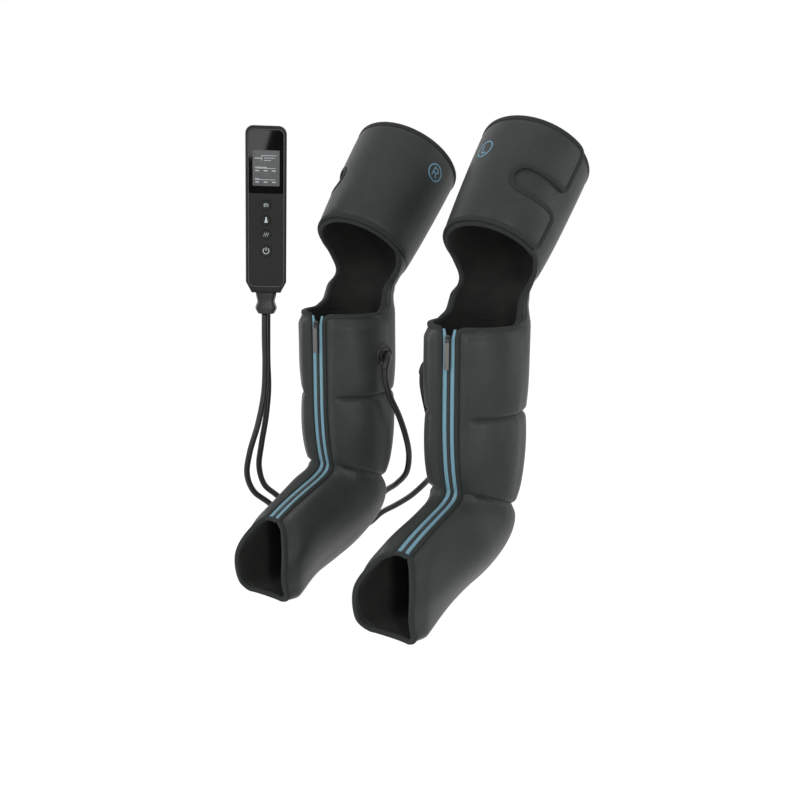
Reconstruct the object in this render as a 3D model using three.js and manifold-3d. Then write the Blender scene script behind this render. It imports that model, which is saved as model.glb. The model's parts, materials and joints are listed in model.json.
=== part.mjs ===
// Air compression leg massager: two padded boots with thigh cuffs, a hand-held pump and two hoses.
// Millimetres, +Z up. The toes point to -Y and the wearer's right leg is at -X.
// The origin is on the floor, under the middle of everything but the hoses.

import * as THREE from "three";
import { mergeVertices } from "three/addons/utils/BufferGeometryUtils.js";
import Module from "manifold-3d";

const wasm = await Module();
wasm.setup();

// Fits, cuts and facets
const clearance = 0.3;
const overrun = 4;
const weldDistance = 0.001;
const sleeveColumns = 20;
const kneeColumns = 10;
const roundSides = 16;
const elbowSides = 10;
const elbowSteps = 8;
const cuffSteps = 24;

// Where the legs and the handset stand
const legSpacing = 235;
const legPairX = 33;
const legPairY = -9;
const handsetX = -198;
const handsetY = -59;
const handsetZ = 547;
const handsetTurn = 44.7;
const handsetRoll = 1.6;

// Calf sleeve
const calfTopHeight = 400;
const calfSeamHeight = 275;
const calfTopHalfWidth = 66;
const calfSeamHalfWidth = 67;
const calfHalfDepth = 67;
const calfFullHeight = 205;
const sleeveWall = 6;
const chamberCrown = 5.5;
const crownPower = 0.6;
const seamGapShare = 0.002;
const liningThickness = 1.2;

// Ankle and foot
const ankleFrontHeight = 170;
const ankleFrontDepth = 55;
const ankleBackHeight = 133;
const ankleBackDepth = 45.5;
const ankleHalfWidth = 62;
const instepHeight = 146;
const instepReach = 80;
const toeTopReach = 168;
const toeTopHeight = 114;
const toeSoleReach = 184;
const toeHalfWidth = 44;
const toeBowDepth = 22;
const heelReach = 99.5;
const heelHeight = 87.5;
const heelTuckDepth = 34;
const soleStartDepth = 32;
const keelShare = 0.88;
const footSwell = 5.5;
const soleTread = 3;
const heelShare = 0.45;
const toeTopShare = 0.4;
const toeWidestShare = 0.52;
const toeTopCornerShare = 0.08;
const toeSoleCornerShare = 0.2;

// Bindings and the front zip
const bindingWidth = 7;
const bindingProud = 1;
const bindingDepth = 5;
const slitHalfWidth = 10;
const tapeThickness = 1.5;
const tapeSink = 2.2;
const chainHalfWidth = 3;
const chainThickness = 2.6;
const chainSink = 1.3;
const zipMouthDepth = 22;
const zipMouthHalfWidth = 5;
const edgeFadeWidth = 14;
const seamFadeStart = 24;
const seamFadeEnd = 50;

// Zip slider and its pull
const sliderTopDrop = 11;
const sliderLength = 13;
const sliderHalfWidth = 4.6;
const sliderTailHalfWidth = 3.4;
const sliderThickness = 2.4;
const bailLength = 6;
const bailHalfWidth = 1.4;
const bailHeight = 3.4;
const pullPinRadius = 0.8;
const pullLength = 41;
const pullHalfWidth = 4;
const pullThickness = 1.6;
const pullCheek = 1.3;

// Thigh cuff
const cuffTilt = 40.6;
const cuffCentreY = 41;
const cuffCentreZ = 490;
const cuffLength = 176;
const cuffBottomRadius = 73.5;
const cuffTopRadius = 82.5;
const cuffDepthShare = 1.022;
const cuffCrown = 2;
const wrapThickness = 3;
const cuffWall = 4.5;
const wrapRootAngle = 165;
const flapHingeAngle = 60;
const flapEdgeAngle = 85;
const flapSlotAngle = 25;
const flapSlotHeight = 80;
const flapSlotHalfHeight = 17;
const flapCorner = 13;

// Knee panel
const kneeWall = 3.6;
const kneeSpan = 65;
const kneeFlare = 22;
const kneeFlarePower = 4;
const kneeDraw = 5;
const kneeReachShare = 0.35;
const kneeRowShares = [0, 0.07, 0.18, 0.34, 0.5, 0.66, 0.82, 0.93, 1];

// Hose connector on each calf
const socketY = 3;
const socketHeight = 337;
const socketFlangeRadius = 18;
const socketFlangeThickness = 3.2;
const socketBarrelRadius = 8.5;
const elbowReach = 14;
const elbowDrop = 15;
const elbowLean = 6;
const elbowReachShares = [0.36, 0.74];
const elbowLeanShares = [0.2, 0.7, 1];
const elbowDropShares = [0.12, 0.55, 1];
const hoseDiameter = 9.5;
const elbowDiameter = 10.5;

// Handset
const handsetHeight = 247;
const handsetHalfWidth = 30.6;
const handsetDepth = 36;
const handsetWall = 3;
const handsetCorner = 12;
const handsetBevel = 3;
const handsetChamferHeight = 16.4;
const handsetFootHalfWidth = 21.8;
const faceHalfWidth = 26;
const faceTopMargin = 6.3;
const faceFootMargin = 10;
const faceSink = 0.6;
const faceCorner = 8;
const windowHeight = 92;
const windowThickness = 1.4;
const lcdHalfWidth = 19.9;
const lcdTop = 91;
const lcdFoot = 36;
const lcdThickness = 4.2;

// Handset buttons, from the top down
const buttonRadius = 7.7;
const powerRadius = 9;
const buttonFlange = 1.4;
const buttonFlangeThickness = 1.2;
const buttonProud = 0.3;
const buttonHollow = 0.5;
const buttonTravel = 0.6;
const modeHeight = 7.7;
const intensityHeight = -14.1;
const heatHeight = -35.8;
const powerHeight = -60;

// Inside the handset
const membraneHalfWidth = 15;
const membraneTop = 20;
const membraneFoot = -74;
const membraneThickness = 1.2;
const boardHalfWidth = 17;
const boardTop = 98;
const boardFoot = -92;
const boardThickness = 1.6;
const pumpRadius = 10;
const pumpMotorLength = 34;
const pumpHeadLength = 20;
const pumpTop = 92;
const batteryHalfWidth = 17;
const batteryTop = 30;
const batteryFoot = -44;
const batteryThickness = 11;
const valveHalfWidth = 15;
const valveTop = -50;
const valveFoot = -84;
const valveThickness = 15;
const portHalfWidth = 12;
const portHalfDepth = 7;
const portTop = -96;
const portBoreRadius = 3;
const hosePitch = 12.4;
const screwHeadRadius = 2.6;
const screwHeadHeight = 1.8;
const screwShankRadius = 1.2;
const screwLength = 22;
const screwRecess = 5;
const bossRadius = 4.6;
const screwOffsetX = 21.5;
const screwTopHeight = 105;
const screwFootHeight = -98;

// Hose plug
const plugLength = 34.5;
const plugTopHalfWidth = 15;
const plugWaistHalfWidth = 12.2;
const plugGripHalfWidth = 16;
const plugFootHalfWidth = 11.2;
const plugHalfDepth = 9.5;
const plugFootHalfDepth = 6.4;
const plugSquareness = 0.5;
const plugShares = [
  { down: 0, width: "top", depthShare: 1 },
  { down: 0.12, width: "top", depthShare: 1 },
  { down: 0.42, width: "waist", depthShare: 0.85 },
  { down: 0.68, width: "grip", depthShare: 1 },
  { down: 0.86, width: "knuckle", depthShare: 0.9 },
];
const plugKnuckleShare = 0.86;

// The hoses' middle lines, by hand, from the plug to each calf's elbow
const rightHoseRoute = [
  [-196.7, -57.8, 388.3],
  [-197.4, -58.5, 352],
  [-199, -58.5, 316],
  [-202, -59.5, 270],
  [-205, -65, 225],
  [-210, -71.5, 182],
  [-216.5, -72, 144],
  [-219, -59, 110],
  [-216.5, -35, 87],
  [-209, -8, 61],
  [-196, 19, 37],
  [-179, 45, 17],
  [-159, 66, 10],
  [-138, 80, 23],
  [-118, 86.5, 48],
  [-98, 84.5, 73],
  [-76.5, 78.6, 92.4],
  [-46.5, 68, 112.4],
  [-18.5, 57.3, 138.6],
  [-6.5, 48, 169],
  [1.5, 30.5, 202],
  [2.5, 11, 241],
  [0.5, -11, 279],
  [-1, -18, 304],
  [-1, -18, 317.7],
];
const leftHoseRoute = [
  [-205.6, -66.5, 388.7],
  [-206.3, -67.2, 352],
  [-206, -68.5, 312],
  [-204.5, -74, 265],
  [-206, -85.5, 217],
  [-213, -95, 172],
  [-219.5, -96, 136],
  [-220, -83, 105],
  [-214.5, -55, 79],
  [-211, -26, 51],
  [-204, 6, 26],
  [-192, 40, 10],
  [-174, 70, 5],
  [-150, 92, 7],
  [-128, 102, 21],
  [-106.9, 104, 41],
  [-74, 103, 62],
  [-42, 99, 84],
  [-21.7, 95, 101],
  [-0.7, 89, 120],
  [26, 75, 143],
  [45, 53, 171],
  [56, 29, 206],
  [63, 7, 243],
  [66.5, -11, 280],
  [67, -18, 304],
  [67, -18, 317.7],
];
const hoseSides = 8;
const hoseSteps = 36;

const degrees = THREE.MathUtils.degToRad;
const blend = THREE.MathUtils.lerp;
const ease = THREE.MathUtils.smoothstep;
const fullTurn = 2 * Math.PI;

// Colours
const outerCloth = new THREE.MeshStandardMaterial({ color: 0x3b3c3c, roughness: 0.75 });
const liningCloth = new THREE.MeshStandardMaterial({ color: 0x191b1a, roughness: 0.95 });
const bindingCloth = new THREE.MeshStandardMaterial({ color: 0x2e3130, roughness: 0.8 });
const tapeCloth = new THREE.MeshStandardMaterial({ color: 0x4f8398, roughness: 0.7 });
const chainPlastic = new THREE.MeshStandardMaterial({ color: 0x18191a, roughness: 0.5 });
const pullMetal = new THREE.MeshStandardMaterial({ color: 0x6a6b6a, roughness: 0.45, metalness: 0.5 });
const casePlastic = new THREE.MeshStandardMaterial({ color: 0x3a3a38, roughness: 0.5 });
const blackGlass = new THREE.MeshStandardMaterial({ color: 0x060606, roughness: 0.08 });
const screenGrey = new THREE.MeshStandardMaterial({ color: 0x606160, roughness: 0.3 });
const hoseRubber = new THREE.MeshStandardMaterial({ color: 0x2b2728, roughness: 0.5 });
const boardGreen = new THREE.MeshStandardMaterial({ color: 0x1f4a33, roughness: 0.6 });
const siliconeGrey = new THREE.MeshStandardMaterial({ color: 0x8b8d8c, roughness: 0.7 });
const steel = new THREE.MeshStandardMaterial({ color: 0x9a9c9e, roughness: 0.35, metalness: 0.9 });
const foilBlue = new THREE.MeshStandardMaterial({ color: 0x50606c, roughness: 0.5 });

// Solids

function facingOut(geometry) {
  const position = geometry.getAttribute("position");
  const index = geometry.index.array;
  const corner = [new THREE.Vector3(), new THREE.Vector3(), new THREE.Vector3()];
  let volume = 0;
  for (let i = 0; i < index.length; i += 3) {
    corner.forEach((point, j) => point.fromBufferAttribute(position, index[i + j]));
    volume += corner[0].dot(corner[1].clone().cross(corner[2]));
  }
  if (volume < 0) {
    for (let i = 0; i < index.length; i += 3) {
      [index[i + 1], index[i + 2]] = [index[i + 2], index[i + 1]];
    }
  }
  geometry.computeVertexNormals();
  return geometry;
}

// Rows of points, each row as long as the next. A ring of rows closes on itself, and so does a ring of columns.
function gridGeometry(rows, ringOfRows, capEnds) {
  const columns = rows[0].length;
  const points = rows.flat();
  const faces = [];
  const lastRow = ringOfRows ? rows.length : rows.length - 1;
  for (let r = 0; r < lastRow; r++) {
    const next = (r + 1) % rows.length;
    for (let c = 0; c < columns; c++) {
      const right = (c + 1) % columns;
      const [a, b] = [r * columns + c, r * columns + right];
      const [d, e] = [next * columns + c, next * columns + right];
      faces.push(a, b, e, a, e, d);
    }
  }
  if (capEnds) {
    const start = (rows.length - 1) * columns;
    for (let c = 1; c < columns - 1; c++) {
      faces.push(0, c + 1, c, start, start + c, start + c + 1);
    }
  }
  const geometry = new THREE.BufferGeometry().setFromPoints(points);
  geometry.setIndex(faces);
  return facingOut(geometry);
}

// A sheet with thickness: rows of [outer, inner] points, closed along its edges.
function sheetGeometry(outerRows, innerRows) {
  const columns = outerRows[0].length;
  const rows = outerRows.length;
  const points = [...outerRows.flat(), ...innerRows.flat()];
  const outer = (r, c) => r * columns + c;
  const inner = (r, c) => rows * columns + r * columns + c;
  const faces = [];
  const quad = (a, b, c, d) => faces.push(a, b, c, a, c, d);
  for (let r = 0; r < rows - 1; r++) {
    for (let c = 0; c < columns - 1; c++) {
      quad(outer(r, c), outer(r, c + 1), outer(r + 1, c + 1), outer(r + 1, c));
      quad(inner(r, c), inner(r + 1, c), inner(r + 1, c + 1), inner(r, c + 1));
    }
    quad(outer(r, 0), outer(r + 1, 0), inner(r + 1, 0), inner(r, 0));
    quad(outer(r, columns - 1), inner(r, columns - 1), inner(r + 1, columns - 1), outer(r + 1, columns - 1));
  }
  for (let c = 0; c < columns - 1; c++) {
    quad(outer(0, c), inner(0, c), inner(0, c + 1), outer(0, c + 1));
    quad(outer(rows - 1, c), outer(rows - 1, c + 1), inner(rows - 1, c + 1), inner(rows - 1, c));
  }
  const geometry = new THREE.BufferGeometry().setFromPoints(points);
  geometry.setIndex(faces);
  return facingOut(geometry);
}

// A sheet over a grid of two coordinates; at gives a point for a column, a row and a face, outer 1 or inner 0.
function sheet(columnPlaces, rowPlaces, at) {
  const face = (side) => rowPlaces.map((row) => columnPlaces.map((column) => at(column, row, side)));
  return sheetGeometry(face(1), face(0));
}

// A closed band: at gives a point for an angle, a row and a face.
function band(columns, rowPlaces, at) {
  const ring = (row, side) =>
    Array.from({ length: columns }, (_, c) => at((c / columns) * fullTurn, row, side));
  const rings = [...rowPlaces.map((row) => ring(row, 1)), ...rowPlaces.toReversed().map((row) => ring(row, 0))];
  return gridGeometry(rings, true, false);
}

function solidOf(geometry) {
  const loose = geometry.index ? geometry.toNonIndexed() : geometry;
  const bare = new THREE.BufferGeometry().setAttribute("position", loose.getAttribute("position"));
  const welded = mergeVertices(bare, weldDistance);
  return new wasm.Manifold(
    new wasm.Mesh({
      numProp: 3,
      vertProperties: welded.getAttribute("position").array,
      triVerts: new Uint32Array(welded.index.array),
    }),
  );
}

function geometryOf(solid) {
  const mesh = solid.getMesh();
  const geometry = new THREE.BufferGeometry();
  geometry.setAttribute("position", new THREE.BufferAttribute(new Float32Array(mesh.vertProperties), 3));
  geometry.setIndex(new THREE.BufferAttribute(new Uint32Array(mesh.triVerts), 1));
  geometry.computeVertexNormals();
  return geometry;
}

function cut(geometry, ...cutters) {
  return geometryOf(cutters.reduce((solid, cutter) => solid.subtract(solidOf(cutter)), solidOf(geometry)));
}

function join(geometry, ...others) {
  return geometryOf(others.reduce((solid, other) => solid.add(solidOf(other)), solidOf(geometry)));
}

function common(geometry, other) {
  return geometryOf(solidOf(geometry).intersect(solidOf(other)));
}

// A box between two corners
function block(low, high) {
  const size = high.map((value, i) => value - low[i]);
  const middle = high.map((value, i) => (value + low[i]) / 2);
  return new THREE.BoxGeometry(...size).translate(...middle);
}

// A cylinder along Y between two depths
function barrel(radius, x, z, nearY, farY) {
  const geometry = new THREE.CylinderGeometry(radius, radius, farY - nearY, roundSides);
  return geometry.translate(x, (nearY + farY) / 2, z);
}

function named(name, geometry, material) {
  const mesh = new THREE.Mesh(geometry, material);
  mesh.name = name;
  return mesh;
}

function places(from, to, steps) {
  return Array.from({ length: steps + 1 }, (_, i) => blend(from, to, i / steps));
}

// The boot's skin. along runs 0 at the calf's top, 1 at the calf's seam, 2 at the ankle seam and 3 at the toes.
// angle turns from the shin at 0, over the inner side (+X), to the back of the leg and the sole at half a turn.

const rimHeight = calfTopHeight - bindingWidth - clearance;
const calfFront = new THREE.QuadraticBezierCurve(
  new THREE.Vector2(-calfHalfDepth, calfSeamHeight),
  new THREE.Vector2(-calfHalfDepth, calfFullHeight),
  new THREE.Vector2(-ankleFrontDepth, ankleFrontHeight),
);
const calfBack = new THREE.QuadraticBezierCurve(
  new THREE.Vector2(calfHalfDepth, calfSeamHeight),
  new THREE.Vector2(calfHalfDepth, calfFullHeight),
  new THREE.Vector2(ankleBackDepth, ankleBackHeight),
);
const instep = new THREE.CubicBezierCurve(
  new THREE.Vector2(-ankleFrontDepth, ankleFrontHeight),
  new THREE.Vector2(-ankleFrontDepth, instepHeight),
  new THREE.Vector2(-instepReach, instepHeight),
  new THREE.Vector2(-toeTopReach, toeTopHeight),
);
const heel = new THREE.CubicBezierCurve(
  new THREE.Vector2(ankleBackDepth, ankleBackHeight),
  new THREE.Vector2(heelReach, heelHeight),
  new THREE.Vector2(heelTuckDepth, -soleTread),
  new THREE.Vector2(soleStartDepth, -soleTread),
);
const sole = new THREE.LineCurve(
  new THREE.Vector2(soleStartDepth, -soleTread),
  new THREE.Vector2(-toeSoleReach, -soleTread),
);

function sectionAt(along) {
  if (along <= 1) {
    const height = blend(rimHeight, calfSeamHeight, along);
    return {
      front: new THREE.Vector2(-calfHalfDepth, height),
      back: new THREE.Vector2(calfHalfDepth, height),
      halfWidth: blend(calfTopHalfWidth, calfSeamHalfWidth, along),
      toe: 0,
    };
  }
  if (along <= 2) {
    return {
      front: calfFront.getPoint(along - 1),
      back: calfBack.getPoint(along - 1),
      halfWidth: blend(calfSeamHalfWidth, ankleHalfWidth, along - 1),
      toe: 0,
    };
  }
  const toe = along - 2;
  return {
    front: instep.getPoint(toe),
    back: toe < heelShare ? heel.getPoint(toe / heelShare) : sole.getPoint((toe - heelShare) / (1 - heelShare)),
    halfWidth: blend(ankleHalfWidth, toeHalfWidth, toe) + footSwell * Math.sin(Math.PI * toe),
    toe,
  };
}

// The toe end's outline: half its width at a share of its height, from the instep down to the sole
function toeWidthShare(depthShare) {
  const swell = Math.sin((Math.PI / 2) * Math.min(1, depthShare / toeWidestShare));
  const top = Math.max(0, 1 - depthShare / toeTopCornerShare);
  const bottom = Math.max(0, 1 - (1 - depthShare) / toeSoleCornerShare);
  return blend(toeTopShare, 1, swell) * Math.sqrt(1 - top ** 2) * Math.sqrt(1 - bottom ** 3);
}

function skin(along, angle, outset) {
  const { front, back, halfWidth, toe } = sectionAt(along);
  const depthShare = (1 - Math.cos(angle)) / 2;
  const fullShare = blend(Math.abs(Math.sin(angle)), toeWidthShare(depthShare), toe);
  const widthShare = fullShare * (1 - keelShare * Math.sin(Math.PI * toe) * depthShare ** 2);
  const reach = back.clone().sub(front).normalize().multiplyScalar(outset);
  const middle = front.clone().sub(reach).lerp(back.clone().add(reach), depthShare);
  const bow = toeBowDepth * toe ** 2 * Math.sin(Math.PI * depthShare);
  return new THREE.Vector3(
    Math.sign(Math.sin(angle)) * (halfWidth + outset) * widthShare,
    middle.x - bow,
    Math.max(middle.y, Math.max(0, -outset)),
  );
}

// The angle at which the skin is so far from the shin's middle line
function angleAt(along, distance, outset) {
  let low = 0;
  let high = Math.PI / 2;
  for (let i = 0; i < 30; i++) {
    const middle = (low + high) / 2;
    if (Math.abs(skin(along, middle, outset).x) < distance) low = middle;
    else high = middle;
  }
  return low;
}

// The place along the boot of a height on the upper calf
function alongAt(height) {
  return (rimHeight - height) / (rimHeight - calfSeamHeight);
}

// How far a chamber's cover stands out: full in its middle, drawn in at its seams and beside the zip
function crownAt(along, angle, start, end) {
  const share = THREE.MathUtils.clamp((along - start) / (end - start), 0, 1);
  const pillow = Math.sin(Math.PI * share) ** crownPower;
  const atRim = (start === 0 && share < 0.5) || (end === 3 && share > 0.5);
  const fromShin = Math.min(angle, fullTurn - angle);
  const seamFade = atRim ? 1 : ease(fromShin, degrees(seamFadeStart), degrees(seamFadeEnd));
  const fromSlit = Math.abs(skin(along, angle, 0).x) - slitHalfWidth - bindingWidth;
  const edgeFade = fromShin > Math.PI / 2 ? 1 : ease(fromSlit, 0, edgeFadeWidth);
  return chamberCrown * edgeFade * blend(1, pillow, seamFade);
}

const slitEdge = slitHalfWidth + bindingWidth + clearance;
const rimInset = sleeveWall + clearance + liningThickness;

// An angle from one edge of the slit, round the back, to the other
function wrapAngle(along, column) {
  const first = angleAt(along, slitEdge, -sleeveWall);
  return blend(first, fullTurn - first, column);
}

function chamberRows(start, end, rowShares) {
  return rowShares.map((share) => blend(start + seamGapShare, end - seamGapShare, share));
}

function chamber(start, end, rowShares) {
  const rows = chamberRows(start, end, rowShares);
  return sheet(places(0, 1, sleeveColumns), rows, (column, along, side) => {
    const angle = wrapAngle(along, column);
    return skin(along, angle, side ? crownAt(along, angle, start, end) : -sleeveWall);
  });
}

const calfRowShares = [0, 0.08, 0.28, 0.5, 0.72, 0.92, 1];
const footRowShares = [0, 0.06, 0.15, 0.25, 0.36, 0.5, 0.65, 0.82, 0.95, 1];
const liningRows = [0, ...chamberRows(1, 2, calfRowShares.toSpliced(1, 1)), ...chamberRows(2, 3, footRowShares)];

function lining() {
  const outset = [-rimInset, -(sleeveWall + clearance)];
  return sheet(places(0, 1, sleeveColumns), liningRows, (column, along, side) =>
    skin(along, wrapAngle(along, column), outset[side]),
  );
}

// The calf's top edge, bound from one side of the zip round to the other
function calfTopBinding() {
  const heights = [clearance, clearance + bindingWidth];
  return sheet(places(0, 1, sleeveColumns), heights, (column, height, side) => {
    const point = skin(0, wrapAngle(0, column), side ? bindingProud : -rimInset);
    return point.setZ(rimHeight + height);
  });
}

// The toe opening's edge, a closed ring that crosses the end of the zip
function toeBinding() {
  return band(sleeveColumns, [clearance, clearance + bindingWidth], (angle, forward, side) => {
    const point = skin(3, angle, side ? bindingProud : -rimInset);
    return point.setY(point.y - forward);
  });
}

// Half of the zip: its tape, sunk between the bindings, and the binding of the sleeve's edge.
// Above the slider the tapes part in a mouth.
const zipTopAlong = alongAt(calfTopHeight);
const zipMouthAlong = alongAt(calfTopHeight - zipMouthDepth);
const zipCalfShares = [0.5, 1, 1.3, 1.6, 1.85];
const zipFootShares = [0, 0.1, 0.2, 0.32, 0.46, 0.62, 0.8, 1];
const zipRows = [zipMouthAlong, ...zipCalfShares, ...zipFootShares.map((share) => 2 + share)];

function zipTape(inner) {
  const rows = [zipTopAlong, ...zipRows];
  const chainEdge = chainHalfWidth + clearance;
  const edges = [
    { distance: chainEdge, outer: -tapeSink, inner: -tapeSink - tapeThickness },
    { distance: slitHalfWidth, outer: -tapeSink, inner: -tapeSink - tapeThickness },
    { distance: slitHalfWidth, outer: bindingProud, inner: -bindingDepth },
    { distance: slitHalfWidth + bindingWidth, outer: bindingProud, inner: -bindingDepth },
  ];
  return sheet(edges, rows, (edge, along, side) => {
    const outset = side ? edge.outer : edge.inner;
    const mouth = edge.distance === chainEdge && along === zipTopAlong ? zipMouthHalfWidth : 0;
    const angle = angleAt(along, edge.distance + mouth, outset);
    return skin(along, inner ? angle : fullTurn - angle, outset);
  });
}

function zipChain() {
  return sheet([-1, 0, 1], zipRows, (edge, along, side) => {
    const outset = -chainSink - (side ? 0 : chainThickness);
    const angle = edge * angleAt(along, chainHalfWidth, outset);
    return skin(along, (angle + fullTurn) % fullTurn, outset);
  });
}

// A flat outline in X and Z with thickness, its near face towards -Y at a depth
function plate(shape, thickness, nearY, curveSegments = 4) {
  const geometry = new THREE.ExtrudeGeometry(shape, { depth: thickness, bevelEnabled: false, curveSegments });
  return geometry.rotateX(Math.PI / 2).translate(0, nearY + thickness, 0);
}

// A rod along X between two places
function rodAcross(radius, fromX, toX, y, z, sides) {
  const geometry = new THREE.CylinderGeometry(radius, radius, toX - fromX, sides).rotateZ(Math.PI / 2);
  return geometry.translate((fromX + toX) / 2, y, z);
}

const sliderTop = calfTopHeight - sliderTopDrop;
const sliderNearY = -(calfHalfDepth - chainSink + clearance + sliderThickness);
const pinY = sliderNearY - bailHeight / 2;
const pinZ = sliderTop - bailLength;

function zipSlider() {
  const outline = new THREE.Shape();
  const neck = sliderTop - sliderLength / 2;
  outline.moveTo(-sliderHalfWidth, neck);
  outline.quadraticCurveTo(-sliderHalfWidth, sliderTop, 0, sliderTop);
  outline.quadraticCurveTo(sliderHalfWidth, sliderTop, sliderHalfWidth, neck);
  outline.lineTo(sliderTailHalfWidth, sliderTop - sliderLength);
  outline.lineTo(-sliderTailHalfWidth, sliderTop - sliderLength);
  outline.closePath();
  const body = plate(outline, sliderThickness, sliderNearY);
  const bail = block(
    [-bailHalfWidth, sliderNearY - bailHeight, pinZ - bailLength / 2],
    [bailHalfWidth, sliderNearY + sliderThickness / 2, pinZ + bailLength / 2],
  );
  const eye = rodAcross(pullPinRadius + clearance, -sliderHalfWidth, sliderHalfWidth, pinY, pinZ, 8);
  return cut(join(body, bail), eye);
}

function zipPull() {
  const innerX = bailHalfWidth + clearance;
  const outerX = innerX + pullCheek;
  const tabTop = pinZ - bailLength / 2 - clearance - pullCheek;
  const nearY = pinY - pullThickness / 2;
  const tab = roundedRectangle(pullHalfWidth, pinZ - pullLength, tabTop, pullCheek);
  const cheeks = [-1, 1].map((side) =>
    block(
      [Math.min(side * innerX, side * outerX), nearY, tabTop - overrun],
      [Math.max(side * innerX, side * outerX), nearY + pullThickness, pinZ + pullPinRadius + clearance],
    ),
  );
  const pin = rodAcross(pullPinRadius, -outerX + clearance, outerX - clearance, pinY, pinZ, 8);
  return join(plate(tab, pullThickness, nearY), ...cheeks, pin);
}

function roundedRectangle(halfWidth, low, high, radius) {
  const shape = new THREE.Shape();
  shape.moveTo(-halfWidth + radius, low);
  shape.lineTo(halfWidth - radius, low);
  shape.absarc(halfWidth - radius, low + radius, radius, -Math.PI / 2, 0);
  shape.lineTo(halfWidth, high - radius);
  shape.absarc(halfWidth - radius, high - radius, radius, 0, Math.PI / 2);
  shape.lineTo(-halfWidth + radius, high);
  shape.absarc(-halfWidth + radius, high - radius, radius, Math.PI / 2, Math.PI);
  shape.lineTo(-halfWidth, low + radius);
  shape.absarc(-halfWidth + radius, low + radius, radius, Math.PI, Math.PI * 1.5);
  return shape;
}

// Knee panel: cloth behind the knee, from the calf's top edge to the cuff's bottom edge.
// It leaves the calf upwards, arrives along the cuff, is drawn in between and flares at both ends.
const tilt = degrees(cuffTilt);

function cuffPlace(point) {
  const turned = point.clone().applyAxisAngle(new THREE.Vector3(1, 0, 0), -tilt);
  return turned.add(new THREE.Vector3(0, cuffCentreY, cuffCentreZ));
}

function kneeSkin(rise, angle, outset) {
  const calfInset = outset - rimInset + kneeWall;
  const start = new THREE.Vector3(
    (calfTopHalfWidth + calfInset) * Math.sin(angle),
    -(calfHalfDepth + calfInset) * Math.cos(angle),
    calfTopHeight + clearance,
  );
  const end = cuffPlace(cuffSkin(-clearance, angle, outset - wrapThickness - clearance));
  const reach = start.distanceTo(end) * kneeReachShare;
  const leaving = start.clone().setZ(start.z + reach);
  const arriving = end.clone().sub(cuffPlace(new THREE.Vector3(0, 0, reach)).sub(cuffPlace(new THREE.Vector3())));
  const point = new THREE.CubicBezierCurve3(start, leaving, arriving, end).getPoint(rise);
  const drawn = kneeDraw * Math.sin(Math.PI * rise);
  return point.sub(new THREE.Vector3(Math.sin(angle), -Math.cos(angle), 0).multiplyScalar(drawn));
}

function kneePanel() {
  return sheet(places(-1, 1, kneeColumns), kneeRowShares, (column, rise, side) => {
    const flare = kneeFlare * Math.abs(2 * rise - 1) ** kneeFlarePower;
    return kneeSkin(rise, Math.PI + column * degrees(kneeSpan + flare), side ? 0 : -kneeWall);
  });
}

// Thigh cuff, in its own frame: +Z along the cuff from its bottom edge, -Y to the front
function cuffSkin(height, angle, outset) {
  const share = height / cuffLength;
  const crown = cuffCrown * Math.sin(Math.PI * THREE.MathUtils.clamp(share, 0, 1)) ** crownPower;
  const radius = blend(cuffBottomRadius, cuffTopRadius, share) + crown;
  return new THREE.Vector3(
    (radius + outset) * Math.sin(angle),
    -(radius * cuffDepthShare + outset) * Math.cos(angle),
    height,
  );
}

const cuffRowShares = [0, 0.06, 0.25, 0.5, 0.75, 0.94, 1];
const cuffRows = cuffRowShares.map((share) => share * cuffLength);

function thighCuff() {
  const outer = -(wrapThickness + clearance);
  return band(cuffSteps, cuffRows, (angle, height, side) => cuffSkin(height, angle, side ? outer : outer - cuffWall));
}

// A layer of the cuff's wrap between two angles, with the same facets as the cuff under it
function cuffLayer(low, high) {
  const between = places(-cuffSteps / 2, cuffSteps / 2, cuffSteps).map((step) => (step * 360) / cuffSteps);
  const angles = [low, ...between.filter((angle) => angle > low && angle < high), high];
  return sheet(angles.map(degrees), cuffRows, (angle, height, side) =>
    cuffSkin(height, angle, side ? 0 : -wrapThickness),
  );
}

// What the flap's outline leaves out: all beyond its free edge, and the round-ended slot between its two tabs
function flapWaste() {
  const radius = (cuffBottomRadius + cuffTopRadius) / 2;
  const middle = -(flapEdgeAngle + flapSlotAngle) / 2;
  const edge = radius * Math.sin(degrees(-flapEdgeAngle - middle));
  const slotEnd = radius * Math.sin(degrees(-flapSlotAngle - middle)) - flapSlotHalfHeight;
  const slotLow = flapSlotHeight - flapSlotHalfHeight;
  const slotHigh = flapSlotHeight + flapSlotHalfHeight;
  const far = -radius;
  const waste = new THREE.Shape();
  waste.moveTo(far, -overrun);
  waste.lineTo(edge + flapCorner, -overrun);
  waste.absarc(edge + flapCorner, flapCorner, flapCorner, -Math.PI / 2, -Math.PI, true);
  waste.absarc(edge + flapCorner, slotLow - flapCorner, flapCorner, Math.PI, Math.PI / 2, true);
  waste.absarc(slotEnd, flapSlotHeight, flapSlotHalfHeight, -Math.PI / 2, Math.PI / 2, false);
  waste.absarc(edge + flapCorner, slotHigh + flapCorner, flapCorner, -Math.PI / 2, -Math.PI, true);
  waste.absarc(edge + flapCorner, cuffLength - flapCorner, flapCorner, Math.PI, Math.PI / 2, true);
  waste.lineTo(edge + flapCorner, cuffLength + overrun);
  waste.lineTo(far, cuffLength + overrun);
  waste.closePath();
  const depth = radius * 1.5;
  const inner = radius / 3;
  return plate(waste, depth - inner, -depth).rotateZ(degrees(middle));
}

function thighFlap() {
  const gap = THREE.MathUtils.radToDeg(clearance / cuffBottomRadius);
  return cut(cuffLayer(-(flapEdgeAngle + overrun), flapHingeAngle - gap), flapWaste());
}

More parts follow.
